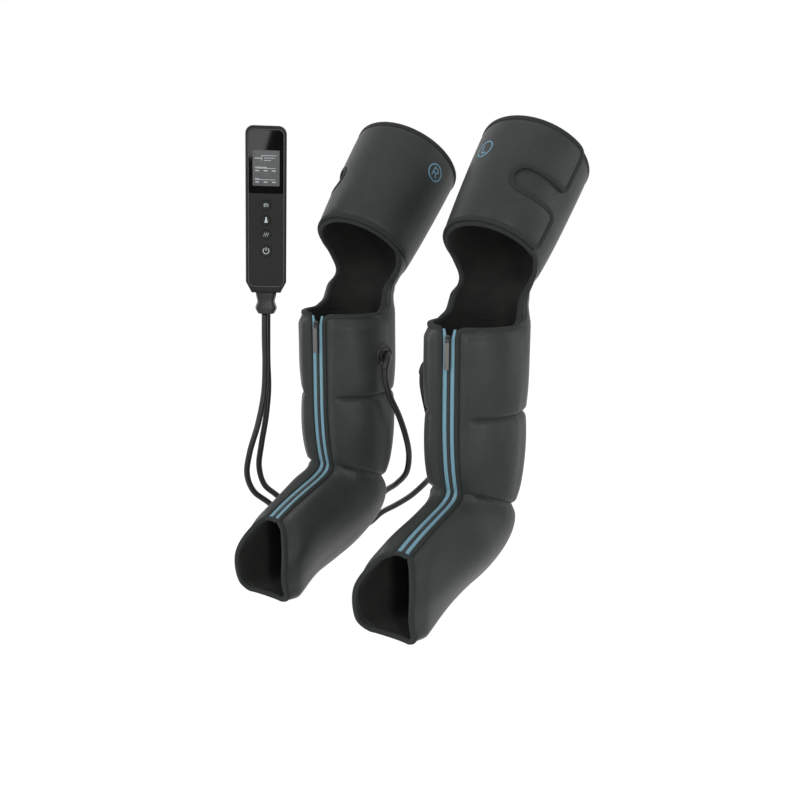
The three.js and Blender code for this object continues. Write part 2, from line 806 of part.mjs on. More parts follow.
// Hose connector on the calf's inner side: a flanged grommet and an elbow that turns down
function grommetHole() {
  const side = calfTopHalfWidth + chamberCrown;
  return rodAcross(
    socketBarrelRadius + clearance,
    side - sleeveWall - 2 * chamberCrown - overrun,
    side + overrun,
    socketY,
    socketHeight,
    roundSides,
  );
}

function hoseSocket() {
  const seat = blend(calfTopHalfWidth, calfSeamHalfWidth, alongAt(socketHeight)) + chamberCrown + clearance;
  const bore = elbowDiameter / 2 + clearance;
  const lip = socketFlangeThickness / 2;
  const profile = [
    [bore, seat - sleeveWall],
    [socketBarrelRadius, seat - sleeveWall],
    [socketBarrelRadius, seat],
    [socketFlangeRadius, seat],
    [socketFlangeRadius, seat + lip],
    [socketFlangeRadius - lip, seat + socketFlangeThickness],
    [bore + lip, seat + socketFlangeThickness],
    [bore, seat + lip],
    [bore, seat - sleeveWall],
  ].map(([radius, height]) => new THREE.Vector2(radius, height));
  const ring = new THREE.LatheGeometry(profile, roundSides);
  return ring.rotateZ(-Math.PI / 2).translate(0, socketY, socketHeight);
}

function tube(points, diameter, sides, steps) {
  const section = new THREE.Shape(
    places(0, 1, sides)
      .slice(0, sides)
      .map((share) => new THREE.Vector2(Math.cos(share * fullTurn), Math.sin(share * fullTurn)).multiplyScalar(diameter / 2)),
  );
  const path = new THREE.CatmullRomCurve3(points, false, "centripetal");
  return new THREE.ExtrudeGeometry(section, { steps, bevelEnabled: false, extrudePath: path });
}

function hoseElbow() {
  const wallX = calfTopHalfWidth + chamberCrown;
  const x = wallX + elbowReach;
  const points = [
    [wallX - overrun, socketY, socketHeight],
    [wallX + elbowReach * elbowReachShares[0], socketY, socketHeight],
    ...elbowLeanShares.map((lean, i) => [
      i === 0 ? wallX + elbowReach * elbowReachShares[1] : x,
      socketY - elbowLean * lean,
      socketHeight - elbowDrop * elbowDropShares[i],
    ]),
    [x, socketY - elbowLean, socketHeight - elbowDrop - overrun],
  ].map((place) => new THREE.Vector3(...place));
  return tube(points, elbowDiameter, elbowSides, elbowSteps);
}

function buildLeg(side) {
  const leg = new THREE.Group();
  const boot = [
    named(`${side}_calf_upper_chamber`, cut(chamber(0, 1, calfRowShares), grommetHole()), outerCloth),
    named(`${side}_calf_lower_chamber`, chamber(1, 2, calfRowShares), outerCloth),
    named(`${side}_foot_chamber`, chamber(2, 3, footRowShares), outerCloth),
    named(`${side}_boot_lining`, lining(), liningCloth),
    named(`${side}_calf_top_binding`, calfTopBinding(), bindingCloth),
    named(`${side}_toe_binding`, toeBinding(), bindingCloth),
    named(`${side}_inner_zip_tape`, zipTape(true), tapeCloth),
    named(`${side}_outer_zip_tape`, zipTape(false), tapeCloth),
    named(`${side}_zip_chain`, zipChain(), chainPlastic),
    named(`${side}_zip_slider`, zipSlider(), chainPlastic),
    named(`${side}_zip_pull`, zipPull(), pullMetal),
    named(`${side}_knee_panel`, kneePanel(), liningCloth),
    named(`${side}_hose_socket`, hoseSocket(), hoseRubber),
    named(`${side}_hose_elbow`, hoseElbow(), hoseRubber),
  ];
  const cuff = new THREE.Group();
  cuff.position.set(0, cuffCentreY, cuffCentreZ);
  cuff.rotation.x = -tilt;
  cuff.add(
    named(`${side}_thigh_cuff`, thighCuff(), outerCloth),
    named(`${side}_thigh_wrap`, cuffLayer(flapHingeAngle, wrapRootAngle), outerCloth),
    named(`${side}_thigh_flap`, thighFlap(), outerCloth),
  );
  leg.add(...boot, cuff);
  return leg;
}

// Handset: +Z up its length and -Y out of its face, about the middle of its case

function caseOutline(inset) {
  const half = handsetHalfWidth - inset;
  const top = handsetHeight / 2 - inset;
  const foot = -top;
  const corner = handsetCorner - inset;
  const outline = new THREE.Shape();
  outline.moveTo(-handsetFootHalfWidth + inset / 2, foot);
  outline.lineTo(handsetFootHalfWidth - inset / 2, foot);
  outline.lineTo(half, foot + handsetChamferHeight);
  outline.lineTo(half, top - corner);
  outline.absarc(half - corner, top - corner, corner, 0, Math.PI / 2);
  outline.lineTo(-half + corner, top);
  outline.absarc(-half + corner, top - corner, corner, Math.PI / 2, Math.PI);
  outline.lineTo(-half, foot + handsetChamferHeight);
  outline.closePath();
  return outline;
}

function caseShell() {
  const block = new THREE.ExtrudeGeometry(caseOutline(0), {
    depth: handsetDepth - 2 * handsetBevel,
    bevelThickness: handsetBevel,
    bevelSize: handsetBevel,
    bevelOffset: -handsetBevel,
    bevelSegments: 2,
    curveSegments: 5,
  });
  block.rotateX(Math.PI / 2).translate(0, handsetDepth / 2 - handsetBevel, 0);
  const cavity = plate(caseOutline(handsetWall), handsetDepth - 2 * handsetWall, handsetWall - handsetDepth / 2);
  return cut(block, cavity);
}

const frontY = -handsetDepth / 2;
const wallInnerY = frontY + handsetWall;
const faceY = frontY + faceSink;
const windowBackY = faceY + windowThickness;
const pocketY = windowBackY + clearance;
const lcdBackY = pocketY + lcdThickness;
const boardNearY = lcdBackY + clearance;
const boardFarY = boardNearY + boardThickness;
const stackY = boardFarY + clearance;
const faceTop = handsetHeight / 2 - faceTopMargin;
const faceFoot = -handsetHeight / 2 + faceFootMargin;
const screwPlaces = [
  ["upper_left_screw", -screwOffsetX, screwTopHeight],
  ["upper_right_screw", screwOffsetX, screwTopHeight],
  ["lower_left_screw", -screwOffsetX, screwFootHeight],
  ["lower_right_screw", screwOffsetX, screwFootHeight],
];
const buttons = [
  ["mode_button", buttonRadius, modeHeight],
  ["intensity_button", buttonRadius, intensityHeight],
  ["heat_button", buttonRadius, heatHeight],
  ["power_button", powerRadius, powerHeight],
];

function halfSpace(nearY, farY) {
  const reach = handsetHeight;
  return block([-reach, nearY, -reach], [reach, farY, reach]);
}

function portMouth() {
  const half = portHalfWidth + clearance;
  const depth = portHalfDepth + clearance;
  return block([-half, -depth, -handsetHeight / 2 - overrun], [half, depth, -handsetHeight / 2 + handsetWall + overrun]);
}

function frontCover() {
  const shell = common(caseShell(), halfSpace(frontY - overrun, -clearance / 2));
  const bosses = screwPlaces.map(([, x, z]) => barrel(bossRadius, x, z, wallInnerY - handsetWall / 2, -clearance / 2));
  const bores = screwPlaces.map(([, x, z]) => barrel(screwShankRadius + clearance, x, z, wallInnerY + clearance, overrun));
  const face = plate(roundedRectangle(faceHalfWidth, faceFoot, faceTop, faceCorner), overrun, faceY - overrun);
  const windowFoot = faceTop - windowHeight;
  const pocket = plate(
    roundedRectangle(faceHalfWidth, windowFoot - clearance, faceTop, faceCorner),
    overrun,
    pocketY - overrun,
  );
  const lcdHole = block(
    [-lcdHalfWidth - clearance, frontY - overrun, lcdFoot - clearance],
    [lcdHalfWidth + clearance, wallInnerY + overrun / 2, lcdTop + clearance],
  );
  const holes = buttons.map(([, radius, z]) => barrel(radius + clearance, 0, z, frontY - overrun, wallInnerY + overrun / 2));
  return cut(join(shell, ...bosses), ...bores, face, pocket, lcdHole, ...holes, portMouth());
}

function rearCover() {
  const shell = common(caseShell(), halfSpace(clearance / 2, -frontY + overrun));
  const bosses = screwPlaces.map(([, x, z]) => barrel(bossRadius, x, z, clearance / 2, -wallInnerY + handsetWall / 2));
  const bores = screwPlaces.map(([, x, z]) => barrel(screwShankRadius + clearance, x, z, -overrun, -frontY + overrun));
  const recesses = screwPlaces.map(([, x, z]) =>
    barrel(screwHeadRadius + clearance, x, z, -frontY - screwRecess, -frontY + overrun),
  );
  return cut(join(shell, ...bosses), ...bores, ...recesses, portMouth());
}

function caseScrew(x, z) {
  const headFoot = -frontY - screwRecess + clearance;
  const profile = [
    [0, headFoot - screwLength],
    [screwShankRadius, headFoot - screwLength + screwShankRadius],
    [screwShankRadius, headFoot],
    [screwHeadRadius, headFoot],
    [screwHeadRadius, headFoot + screwHeadHeight],
    [0, headFoot + screwHeadHeight],
  ].map(([radius, y]) => new THREE.Vector2(radius, y));
  return new THREE.LatheGeometry(profile, 10).translate(x, 0, z);
}

function displayWindow() {
  const shape = roundedRectangle(
    faceHalfWidth - clearance,
    faceTop - windowHeight + clearance,
    faceTop - clearance,
    faceCorner - clearance,
  );
  return plate(shape, windowThickness, faceY);
}

function button(radius, z) {
  const front = faceY - buttonProud;
  const flangeNear = wallInnerY + clearance;
  const flangeFar = flangeNear + buttonFlangeThickness;
  const profile = [
    [0, front + buttonHollow],
    [radius / 2, front + buttonHollow],
    [radius - buttonHollow, front],
    [radius, front + buttonHollow],
    [radius, flangeNear],
    [radius + buttonFlange, flangeNear],
    [radius + buttonFlange, flangeFar],
    [0, flangeFar],
  ].map(([across, y]) => new THREE.Vector2(across, y));
  return new THREE.LatheGeometry(profile, roundSides).translate(0, 0, z);
}

function keypadMembrane() {
  const near = wallInnerY + clearance + buttonFlangeThickness + buttonTravel + clearance;
  return plate(
    roundedRectangle(membraneHalfWidth, membraneFoot, membraneTop, bossRadius),
    Math.min(membraneThickness, boardNearY - clearance - near),
    near,
  );
}

function airPump() {
  const middleY = stackY + pumpRadius;
  const headFoot = pumpTop - pumpHeadLength;
  const motor = new THREE.CylinderGeometry(pumpRadius, pumpRadius, pumpMotorLength + overrun, roundSides)
    .rotateX(Math.PI / 2)
    .translate(0, middleY, headFoot - pumpMotorLength / 2 + overrun / 2);
  const head = block([-pumpRadius, stackY, headFoot], [pumpRadius, stackY + 2 * pumpRadius, pumpTop]);
  const nozzle = new THREE.CylinderGeometry(portBoreRadius, portBoreRadius, 2 * overrun, 10)
    .rotateX(Math.PI / 2)
    .translate(0, middleY, pumpTop + overrun / 2);
  return join(motor, head, nozzle);
}

function valveBlock() {
  const body = block([-valveHalfWidth, stackY, valveFoot], [valveHalfWidth, stackY + valveThickness, valveTop]);
  const nozzles = [-1, 1].map((side) =>
    new THREE.CylinderGeometry(portBoreRadius, portBoreRadius, 2 * overrun, 10)
      .rotateX(Math.PI / 2)
      .translate((side * hosePitch) / 2, stackY + valveThickness / 2, valveFoot - overrun / 2),
  );
  return join(body, ...nozzles);
}

function airPort() {
  const foot = -handsetHeight / 2;
  const body = block([-portHalfWidth, -portHalfDepth, foot], [portHalfWidth, portHalfDepth, portTop]);
  const bores = [-1, 1].map((side) =>
    new THREE.CylinderGeometry(portBoreRadius, portBoreRadius, 2 * (portTop - foot) - handsetWall, 10)
      .rotateX(Math.PI / 2)
      .translate((side * hosePitch) / 2, 0, foot),
  );
  return cut(body, ...bores);
}

// The plug that joins both hoses: a waisted grip under the handset
function hosePlug() {
  const top = -handsetHeight / 2 - clearance;
  const widths = {
    top: plugTopHalfWidth,
    waist: plugWaistHalfWidth,
    grip: plugGripHalfWidth,
    knuckle: plugGripHalfWidth * plugKnuckleShare,
  };
  const levels = plugShares.map(({ down, width, depthShare }) => [down, widths[width], plugHalfDepth * depthShare]);
  levels.push([1, plugFootHalfWidth, plugFootHalfDepth]);
  const rings = levels.map(([share, halfWidth, halfDepth]) =>
    places(0, 1, roundSides)
      .slice(0, roundSides)
      .map((turn) => {
        const [x, y] = [Math.cos(turn * fullTurn), Math.sin(turn * fullTurn)];
        const squareX = Math.sign(x) * Math.abs(x) ** plugSquareness;
        const squareY = Math.sign(y) * Math.abs(y) ** plugSquareness;
        return new THREE.Vector3(squareX * halfWidth, squareY * halfDepth, top - share * plugLength);
      }),
  );
  return gridGeometry(rings, false, true);
}

function buildHandset() {
  const handset = new THREE.Group();
  handset.position.set(handsetX, handsetY, handsetZ);
  handset.rotation.set(0, degrees(handsetRoll), degrees(handsetTurn), "ZYX");
  handset.add(
    named("handset_front_cover", frontCover(), casePlastic),
    named("handset_rear_cover", rearCover(), casePlastic),
    named("display_window", displayWindow(), blackGlass),
    named(
      "lcd_module",
      block([-lcdHalfWidth, pocketY, lcdFoot], [lcdHalfWidth, lcdBackY, lcdTop]),
      screenGrey,
    ),
    ...buttons.map(([name, radius, z]) => named(name, button(radius, z), casePlastic)),
    named("keypad_membrane", keypadMembrane(), siliconeGrey),
    named(
      "circuit_board",
      block([-boardHalfWidth, boardNearY, boardFoot], [boardHalfWidth, boardFarY, boardTop]),
      boardGreen,
    ),
    named("air_pump", airPump(), steel),
    named(
      "battery_pack",
      block([-batteryHalfWidth, stackY, batteryFoot], [batteryHalfWidth, stackY + batteryThickness, batteryTop]),
      foilBlue,
    ),
    named("valve_block", valveBlock(), siliconeGrey),
    named("air_port", airPort(), siliconeGrey),
    ...screwPlaces.map(([name, x, z]) => named(name, caseScrew(x, z), steel)),
    named("hose_plug", hosePlug(), hoseRubber),
  );
  return handset;
}

function hose(name, route) {
  const points = route.map((place) => new THREE.Vector3(...place));
  return named(name, tube(points, hoseDiameter, hoseSides, hoseSteps), hoseRubber);
}

const rightLeg = buildLeg("right");
rightLeg.position.set(legPairX - legSpacing / 2, legPairY, 0);
const leftLeg = buildLeg("left");
leftLeg.position.set(legPairX + legSpacing / 2, legPairY, 0);
leftLeg.scale.x = -1;

const massager = new THREE.Group();
massager.add(rightLeg, leftLeg, buildHandset());
massager.add(hose("right_hose", rightHoseRoute), hose("left_hose", leftHoseRoute));

export default massager;
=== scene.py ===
# The looks of an air compression leg massager: two padded boots with thigh cuffs, a handset and two hoses.
# Metres, +Z up. A leg's own frame has its origin on the floor under the leg, +X to its inner side.

import json
from math import asin, copysign, cos, pi, radians, sin, tau

import bmesh
import bpy
import numpy as np
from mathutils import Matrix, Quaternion, Vector
from mathutils.geometry import delaunay_2d_cdt


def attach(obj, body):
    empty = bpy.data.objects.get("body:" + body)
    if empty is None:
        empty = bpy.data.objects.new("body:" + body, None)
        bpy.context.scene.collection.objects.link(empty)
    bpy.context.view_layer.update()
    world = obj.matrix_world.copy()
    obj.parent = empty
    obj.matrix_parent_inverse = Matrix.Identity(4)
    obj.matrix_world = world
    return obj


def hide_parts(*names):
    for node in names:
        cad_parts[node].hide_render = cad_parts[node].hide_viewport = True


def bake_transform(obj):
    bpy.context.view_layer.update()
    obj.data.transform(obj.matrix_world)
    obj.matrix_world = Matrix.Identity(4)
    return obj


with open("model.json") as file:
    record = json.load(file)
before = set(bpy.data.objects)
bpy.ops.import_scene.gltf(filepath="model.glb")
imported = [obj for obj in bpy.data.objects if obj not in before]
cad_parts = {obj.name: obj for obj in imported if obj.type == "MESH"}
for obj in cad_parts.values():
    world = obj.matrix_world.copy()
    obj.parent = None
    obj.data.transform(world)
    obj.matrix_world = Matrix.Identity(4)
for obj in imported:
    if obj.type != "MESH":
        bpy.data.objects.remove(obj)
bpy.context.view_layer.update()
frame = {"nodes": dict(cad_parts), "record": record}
ROOT = "boots_and_handset"

# Camera and lamps: a lamp's place, width, height and power
CAMERA_PLACE = (0.89806, -1.16597, 0.58192)
CAMERA_TARGET = (0.01927, -0.009, 0.27205)
CAMERA_LENS = 45
CAMERA_SENSOR = 36
LAMP_TARGET = (0.0, 0.0, 0.32)
LAMPS = {
    "key_lamp": ((1.55, -1.25, 0.85), 0.22, 1.7, 15),
    "front_lamp": ((-0.55, -1.9, 1.1), 0.4, 1.6, 13),
    "rim_lamp": ((1.75, 1.15, 0.75), 0.4, 1.8, 7),
    "left_lamp": ((-1.9, -0.3, 0.9), 0.4, 1.6, 13),
    "top_lamp": ((0.1, 0.2, 2.2), 1.4, 1.4, 6),
}
# The small lamp that the handset's window mirrors
WINDOW_LAMP = ((1.4708, -1.8045, 0.777), 0.12, 0.17, 1.0)
WINDOW_LAMP_TARGET = (-0.205, -0.067, 0.645)
WINDOW_LAMP_ROLL = radians(-18.5)
WORLD_LEVEL = 0.25
FLOOR_SHADOW_SHARE = 0.25
FLOOR_LEVEL = 1.28
FLOOR_HALF_SIZE = 6

# Where the legs and the handset stand; a leg's third number mirrors it
LEG_PLACE = {"right": (-0.0845, -0.009, 1), "left": (0.1505, -0.009, -1)}
HANDSET_PLACE = (-0.198, -0.059, 0.547)
HANDSET_TURN = radians(44.7)
HANDSET_ROLL = radians(1.6)

# Calf sleeve
CALF_TOP_HEIGHT = 0.400
CALF_SEAM_HEIGHT = 0.275
CALF_TOP_HALF_WIDTH = 0.066
CALF_SEAM_HALF_WIDTH = 0.067
CALF_HALF_DEPTH = 0.067
SLEEVE_WALL = 0.006
CHAMBER_CROWN = 0.0055
CROWN_POWER = 0.52
LINING_THICKNESS = 0.0012
CLEARANCE = 0.0003

# The boot's front and back lines below the calf's seam, as control points in depth and height
CALF_FRONT = [(-0.067, 0.275), (-0.067, 0.205), (-0.055, 0.170)]
CALF_BACK = [(0.067, 0.275), (0.067, 0.205), (0.0455, 0.133)]
INSTEP = [(-0.055, 0.170), (-0.055, 0.150), (-0.100, 0.150), (-0.168, 0.114)]
HEEL = [(0.0455, 0.133), (0.0975, 0.054), (0.0108, 0.0254), (-0.0192, 0.01905)]
SOLE = [(-0.0192, 0.01905), (-0.100, -0.003), (-0.184, -0.003)]
HEEL_SHARE = 0.45

# Ankle and foot widths
ANKLE_HALF_WIDTH = 0.062
TOE_HALF_WIDTH = 0.044
TOE_BOW = 0.022
FOOT_SWELL = 0.0055
INNER_FOOT_SWELL = 0.013
INNER_SWELL_PLACE = 0.93
OUTER_FOOT_SWELL = 0.0095
OUTER_SWELL_PLACE = 0.42
FOOT_SWELL_REACH = 0.22
KEEL_SHARE = 0.88
TOE_TOP_SHARE = 0.4
TOE_WIDEST_SHARE = 0.52
TOE_TOP_CORNER_SHARE = 0.08
TOE_SOLE_CORNER_SHARE = 0.2

# Seams and fades of the padding
SEAM_SCALES = (0.118, 0.12)
TOE_RIM_SCALE = 1.4
RIM_TUCKS = (0.0035, 0.0033)
EDGE_FADE_WIDTH = 0.014
SEAM_FADE = (radians(18), radians(42))
BACK_FADE = (radians(90), radians(106))
BACK_SWELL = 0.0036
BACK_SWELL_FADE = (radians(98), radians(124))
BACK_SWELL_END = (1.75, 2.2)
SEAM_GROOVE = 0.0034
SEAM_GROOVE_WIDTH = 0.0036
EDGE_GROOVE = 0.0011
EDGE_GROOVE_WIDTH = 0.0014
RIM_CROWN_SHARE = 0.15
PUCKER_HEIGHT = 0.00022
PUCKER_REACH = 0.009
PUCKER_FADE = (0.35, 0.8)
WAVE_HEIGHT = 0.00045
SLEEVE_COLUMN_DRAW = 0.8
SLEEVE_GRID = (52, 210)
LINING_GRID = (30, 110)
LINING_RIPPLE_SHARE = 0.25
NEAR_TOE = 2.97

# Bindings and the front zip
BINDING_WIDTH = 0.007
BINDING_PROUD = 0.001
BINDING_DEPTH = 0.005
BINDING_OVERLAP = 0.0008
SLIT_HALF_WIDTH = 0.010
TAPE_SINK = 0.0022
TAPE_THICKNESS = 0.0015
TAPE_BOW = 0.0011
CHAIN_HALF_WIDTH = 0.003
CHAIN_SINK = 0.0013
BACKING_SINK = 0.0022
END_COVER_HALF_WIDTH = 0.0035
ZIP_MOUTH_DEPTH = 0.022
ZIP_MOUTH_HALF_WIDTH = 0.005
TOOTH_PITCH = 0.0021
TOOTH_HALF_LENGTH = 0.00075
TOOTH_HALF_HEIGHT = 0.0007
TOOTH_SECTION = [(-1, -1), (1, -1), (1, 0.4), (0.55, 1), (-0.55, 1), (-1, 0.4)]
TOOTH_ENDS = [(-0.0004, 0.55), (0.0002, 1), (CHAIN_HALF_WIDTH - 0.001, 1), (CHAIN_HALF_WIDTH - 0.0002, 0.5)]

# Thigh cuff
CUFF_TILT = radians(40.6)
CUFF_CENTRE = (0, 0.041, 0.490)
CUFF_LENGTH = 0.176
CUFF_BOTTOM_RADIUS = 0.0735
CUFF_TOP_RADIUS = 0.0825
CUFF_DEPTH_SHARE = 1.022
CUFF_CROWN = 0.002
WRAP_THICKNESS = 0.003
CORE_OUTSET = -WRAP_THICKNESS - CLEARANCE
CORE_DROP = 0.002
CORE_WAVE_HEIGHT = 0.0004
CORE_LINING_SINK = 0.0014
CUFF_WALL = 0.0045
WRAP_PUFF = 0.0013
WRAP_PUFF_FADE = (0.003, 0.012)
WRAP_SINK = 0.0006
WRAP_ROOT_ANGLE = radians(165)
WRAP_BACK_FADE = (radians(96), radians(110))
FLAP_EDGE_ANGLE = radians(85)
FLAP_SLOT_ANGLE = radians(25)
FLAP_SLOT_HEIGHT = 0.080
FLAP_SLOT_HALF_HEIGHT = 0.017
FLAP_CORNER = 0.013
WRAP_PITCH = 0.003

# Knee panel
KNEE_SPAN = radians(65)
KNEE_FLARE = radians(22)
KNEE_WAIST_SHARE = 0.68
KNEE_FLARE_POWERS = (14, 2.2)
KNEE_CALF_SHARE = 0.28
KNEE_STEP_SHARES = (0.36, 0.64)
KNEE_OVERLAP = 0.007
KNEE_TUCK = 0.0003
KNEE_SWELL = 0.0008
KNEE_CREASE_HEIGHT = 0.0005
KNEE_CREASE_REACH = 0.25
KNEE_LINING_CREASE_SHARE = 0.4
KNEE_LINING_SINK = 0.0022
KNEE_DRAW = 0.005
KNEE_REACH_SHARE = 0.35

# Hose connector on each calf
SOCKET_Y = 0.003
SOCKET_HEIGHT = 0.337
SOCKET_RADIUS = 0.018
SOCKET_THICKNESS = 0.0032
ELBOW_REACH = 0.012
ELBOW_DROP = 0.015
ELBOW_LEAN = 0.012
ELBOW_ROOT = 0.004
ELBOW_SHARES = [(0.36, 0, 0), (0.74, 0.2, 0.12), (1, 0.7, 0.55), (1, 1, 1)]
ELBOW_SIDES = 24
HOSE_DIAMETER = 0.0095
ELBOW_DIAMETER = 0.0105
HOOD_RADIUS = 0.0118
HOOD_HALF_WIDTH = 0.0017
HOOD_HEIGHT = 0.0036

# Handset, in its own frame: +Z up its length and -Y out of its face
HANDSET_HEIGHT = 0.247
HANDSET_DEPTH = 0.036
FACE_SINK = 0.0006
FACE_HALF_WIDTH = 0.026
FACE_TOP = 0.1172
FACE_FOOT = -0.1135
FACE_CORNER = 0.008
FACE_LINE_GAP = 0.0004
WINDOW_HEIGHT = 0.092
LCD_HALF_WIDTH = 0.0199
LCD_TOP = 0.0878
LCD_FOOT = 0.036
BUTTON_SINK = 0.0002
MARK_THICKNESS = 0.00008
CASE_LINE_HALF_WIDTH = 0.00045
CASE_LINE_HEIGHT = 0.00022
MARK_HALF_WIDTH = 0.0003
CASE_ROUNDING = 0.0005
SMALL_ROUNDING = 0.00035
WINDOW_ROUNDING = 0.0002
BUTTON_HEIGHTS = {"mode": 0.0077, "intensity": -0.0141, "heat": -0.0358, "power": -0.060}

# Hose plug: shares of its length, with its half width and half depth there
PLUG_LENGTH = 0.0345
PLUG_LEVELS = [
    (0, 0.0160, 0.0102), (0.13, 0.0156, 0.0100), (0.24, 0.0146, 0.0096), (0.42, 0.0132, 0.0092),
    (0.56, 0.0150, 0.0100), (0.70, 0.0170, 0.0108), (0.84, 0.0146, 0.0106), (1, 0.0112, 0.0104),
]
PLUG_RINGS = 70
PLUG_SIDES = 72
PLUG_SQUARENESS = 0.55
RIB_HALF_WIDTH = 0.0010
RIB_INSET = 0.0014

# Side marks on the cuffs: angle towards the inner side, and height along the cuff
MARK_PLACES = {"right": (radians(80), 0.136), "left": (radians(20), 0.1215)}
MARK_RING_RADIUS = 0.0128
MARK_LINE_HALF_WIDTH = 0.00105
MARK_LETTER_HEIGHT = 0.0140

# The hoses' middle lines, from the plug to each calf's elbow
HOSE_ROUTES = {
    "right": [
        (-0.2029, -0.0573, 0.3883), (-0.2036, -0.0580, 0.352), (-0.2046, -0.0581, 0.316),
        (-0.2049, -0.0578, 0.270), (-0.205, -0.065, 0.225), (-0.210, -0.0715, 0.182),
        (-0.2165, -0.072, 0.144), (-0.219, -0.059, 0.110), (-0.2165, -0.035, 0.087),
        (-0.209, -0.008, 0.061), (-0.196, 0.019, 0.037), (-0.179, 0.045, 0.017),
        (-0.159, 0.066, 0.010), (-0.138, 0.080, 0.023), (-0.118, 0.0865, 0.048),
        (-0.098, 0.0845, 0.073), (-0.0765, 0.0786, 0.0924), (-0.0465, 0.068, 0.1124),
        (-0.0185, 0.0573, 0.1386), (-0.0065, 0.048, 0.169), (0.0015, 0.0305, 0.202),
        (0.0025, 0.011, 0.241), (0.0005, -0.011, 0.279), (-0.001, -0.018, 0.304),
        (-0.001, -0.018, 0.3177),
    ],
    "left": [
        (-0.1993, -0.0670, 0.3887), (-0.2000, -0.0677, 0.352), (-0.2006, -0.0675, 0.312),
        (-0.2016, -0.0712, 0.265), (-0.2042, -0.0838, 0.217), (-0.213, -0.095, 0.172),
        (-0.2195, -0.096, 0.136), (-0.220, -0.083, 0.105), (-0.2145, -0.055, 0.079),
        (-0.211, -0.026, 0.051), (-0.204, 0.006, 0.026), (-0.192, 0.040, 0.010),
        (-0.174, 0.070, 0.005), (-0.150, 0.092, 0.007), (-0.128, 0.102, 0.021),
        (-0.1069, 0.104, 0.041), (-0.074, 0.103, 0.062), (-0.042, 0.099, 0.084),
        (-0.0217, 0.095, 0.101), (-0.0007, 0.089, 0.120), (0.026, 0.075, 0.143),
        (0.045, 0.053, 0.171), (0.056, 0.029, 0.206), (0.063, 0.007, 0.243),
        (0.0665, -0.011, 0.280), (0.067, -0.018, 0.304), (0.067, -0.018, 0.3177),
    ],
}


# Colour and materials

def linear(code):
    channels = [int(code[i:i + 2], 16) / 255 for i in (1, 3, 5)]
    return tuple(c / 12.92 if c <= 0.04045 else ((c + 0.055) / 1.055) ** 2.4 for c in channels) + (1,)


def node(tree, kind, *inputs, operation=None, **named):
    """A new node's factor or first output. An input that is a node's output is linked, any other is set."""
    new = tree.nodes.new(f"ShaderNode{kind}")
    if operation:
        new.operation = operation
    sockets = [*new.inputs[:len(inputs)], *(new.inputs[key.replace("_", " ")] for key in named)]
    for socket, value in zip(sockets, [*inputs, *named.values()]):
        if isinstance(value, bpy.types.NodeSocket):
            tree.links.new(value, socket)
        else:
            socket.default_value = value
    return new.outputs["Fac" if "Fac" in new.outputs else 0]


def mapped(tree, space, **settings):
    return node(tree, "Mapping", tree.nodes.new("ShaderNodeTexCoord").outputs[space], **settings)


def noise(scale, detail=3, stretch=(1, 1, 1)):
    def texture(tree):
        return node(tree, "TexNoise", mapped(tree, "Object", Scale=stretch), Scale=scale, Detail=detail)

    return texture


def wave(scale, turn=0):
    return lambda tree: node(tree, "TexWave", mapped(tree, "UV", Rotation=(0, 0, turn)), Scale=scale)


MATERIALS = {}


def finish(name, stops, fine, coarse=None, share=0.5, rough=None, bumps=(), **shader):
    """A Principled material, kept by its name: its colour over the fine texture or over a mix of both,
    its roughness over the fine one. Each bump is a texture, a strength and a distance in metres."""
    material = bpy.data.materials.new(name)
    material.use_nodes = True
    tree = material.node_tree
    MATERIALS[name] = material
    surface = tree.nodes["Principled BSDF"].inputs
    for key, value in shader.items():
        surface[key.replace("_", " ")].default_value = value
    ramp = tree.nodes.new("ShaderNodeValToRGB")
    elements = ramp.color_ramp.elements
    for place, code in stops:
        elements.new(place).color = linear(code)
    elements.remove(elements[len(elements) - 1])
    elements.remove(elements[0])
    grain = fine(tree)
    tint = node(tree, "Mix", Factor=share, A=coarse(tree), B=grain) if coarse else grain
    tree.links.new(tint, ramp.inputs[0])
    tree.links.new(ramp.outputs[0], surface["Base Color"])
    if rough:
        tree.links.new(node(tree, "MapRange", grain, To_Min=rough[0], To_Max=rough[1]), surface["Roughness"])
    last = {}
    for height, strength, distance in bumps:
        bump = node(tree, "Bump", Height=height(tree), Strength=strength, Distance=distance, **last)
        last = {"Normal": bump}
    if last:
        tree.links.new(last["Normal"], surface["Normal"])


def plain(name, low, high, fine=noise(300), rough=(0.425, 0.575), **shader):
    """Two near colours under a fine grain."""
    finish(name, ((0.3, low), (0.7, high)), fine, rough=rough, bumps=((fine, 0.15, 0.0002),), **shader)


# Fine grains and slow mottling, by their scale
COARSE_22, COARSE_30, COARSE_18 = noise(22, 4), noise(30, 4), noise(18, 3)
GRAIN_900, GRAIN_2600, GRAIN_500 = noise(900, 2), noise(2600, 2), noise(500, 3)
NAP, TWILL, BRUSHED = noise(1300, 3), noise(620, 1, (1, 1, 0.45)), noise(900, 3, (1, 1, 0.04))
RIBS, RIB_GRAIN = wave(175, radians(24)), noise(1500, 2)
CORDS, WEFT = wave(210, radians(90)), wave(420)

# Soft satin jersey over foam: a fine twill, faint mottling and a little sheen
finish("outer_cloth", ((0.38, "#323434"), (0.5, "#363838"), (0.62, "#3b3d3d")), GRAIN_900, COARSE_22,
       rough=(0.36, 0.48), bumps=((TWILL, 0.35, 0.0004), (GRAIN_900, 0.25, 0.0003), (COARSE_22, 0.2, 0.0015)),
       Sheen_Weight=0.02, Sheen_Roughness=0.5, Specular_IOR_Level=0.14)
# Brushed dark lining with a short nap
finish("lining_cloth", ((0.38, "#232423"), (0.62, "#2f302d")), NAP, COARSE_30, Roughness=0.95,
       bumps=((NAP, 0.6, 0.0005), (COARSE_30, 0.3, 0.002)), Sheen_Weight=0.05, Specular_IOR_Level=0.06)
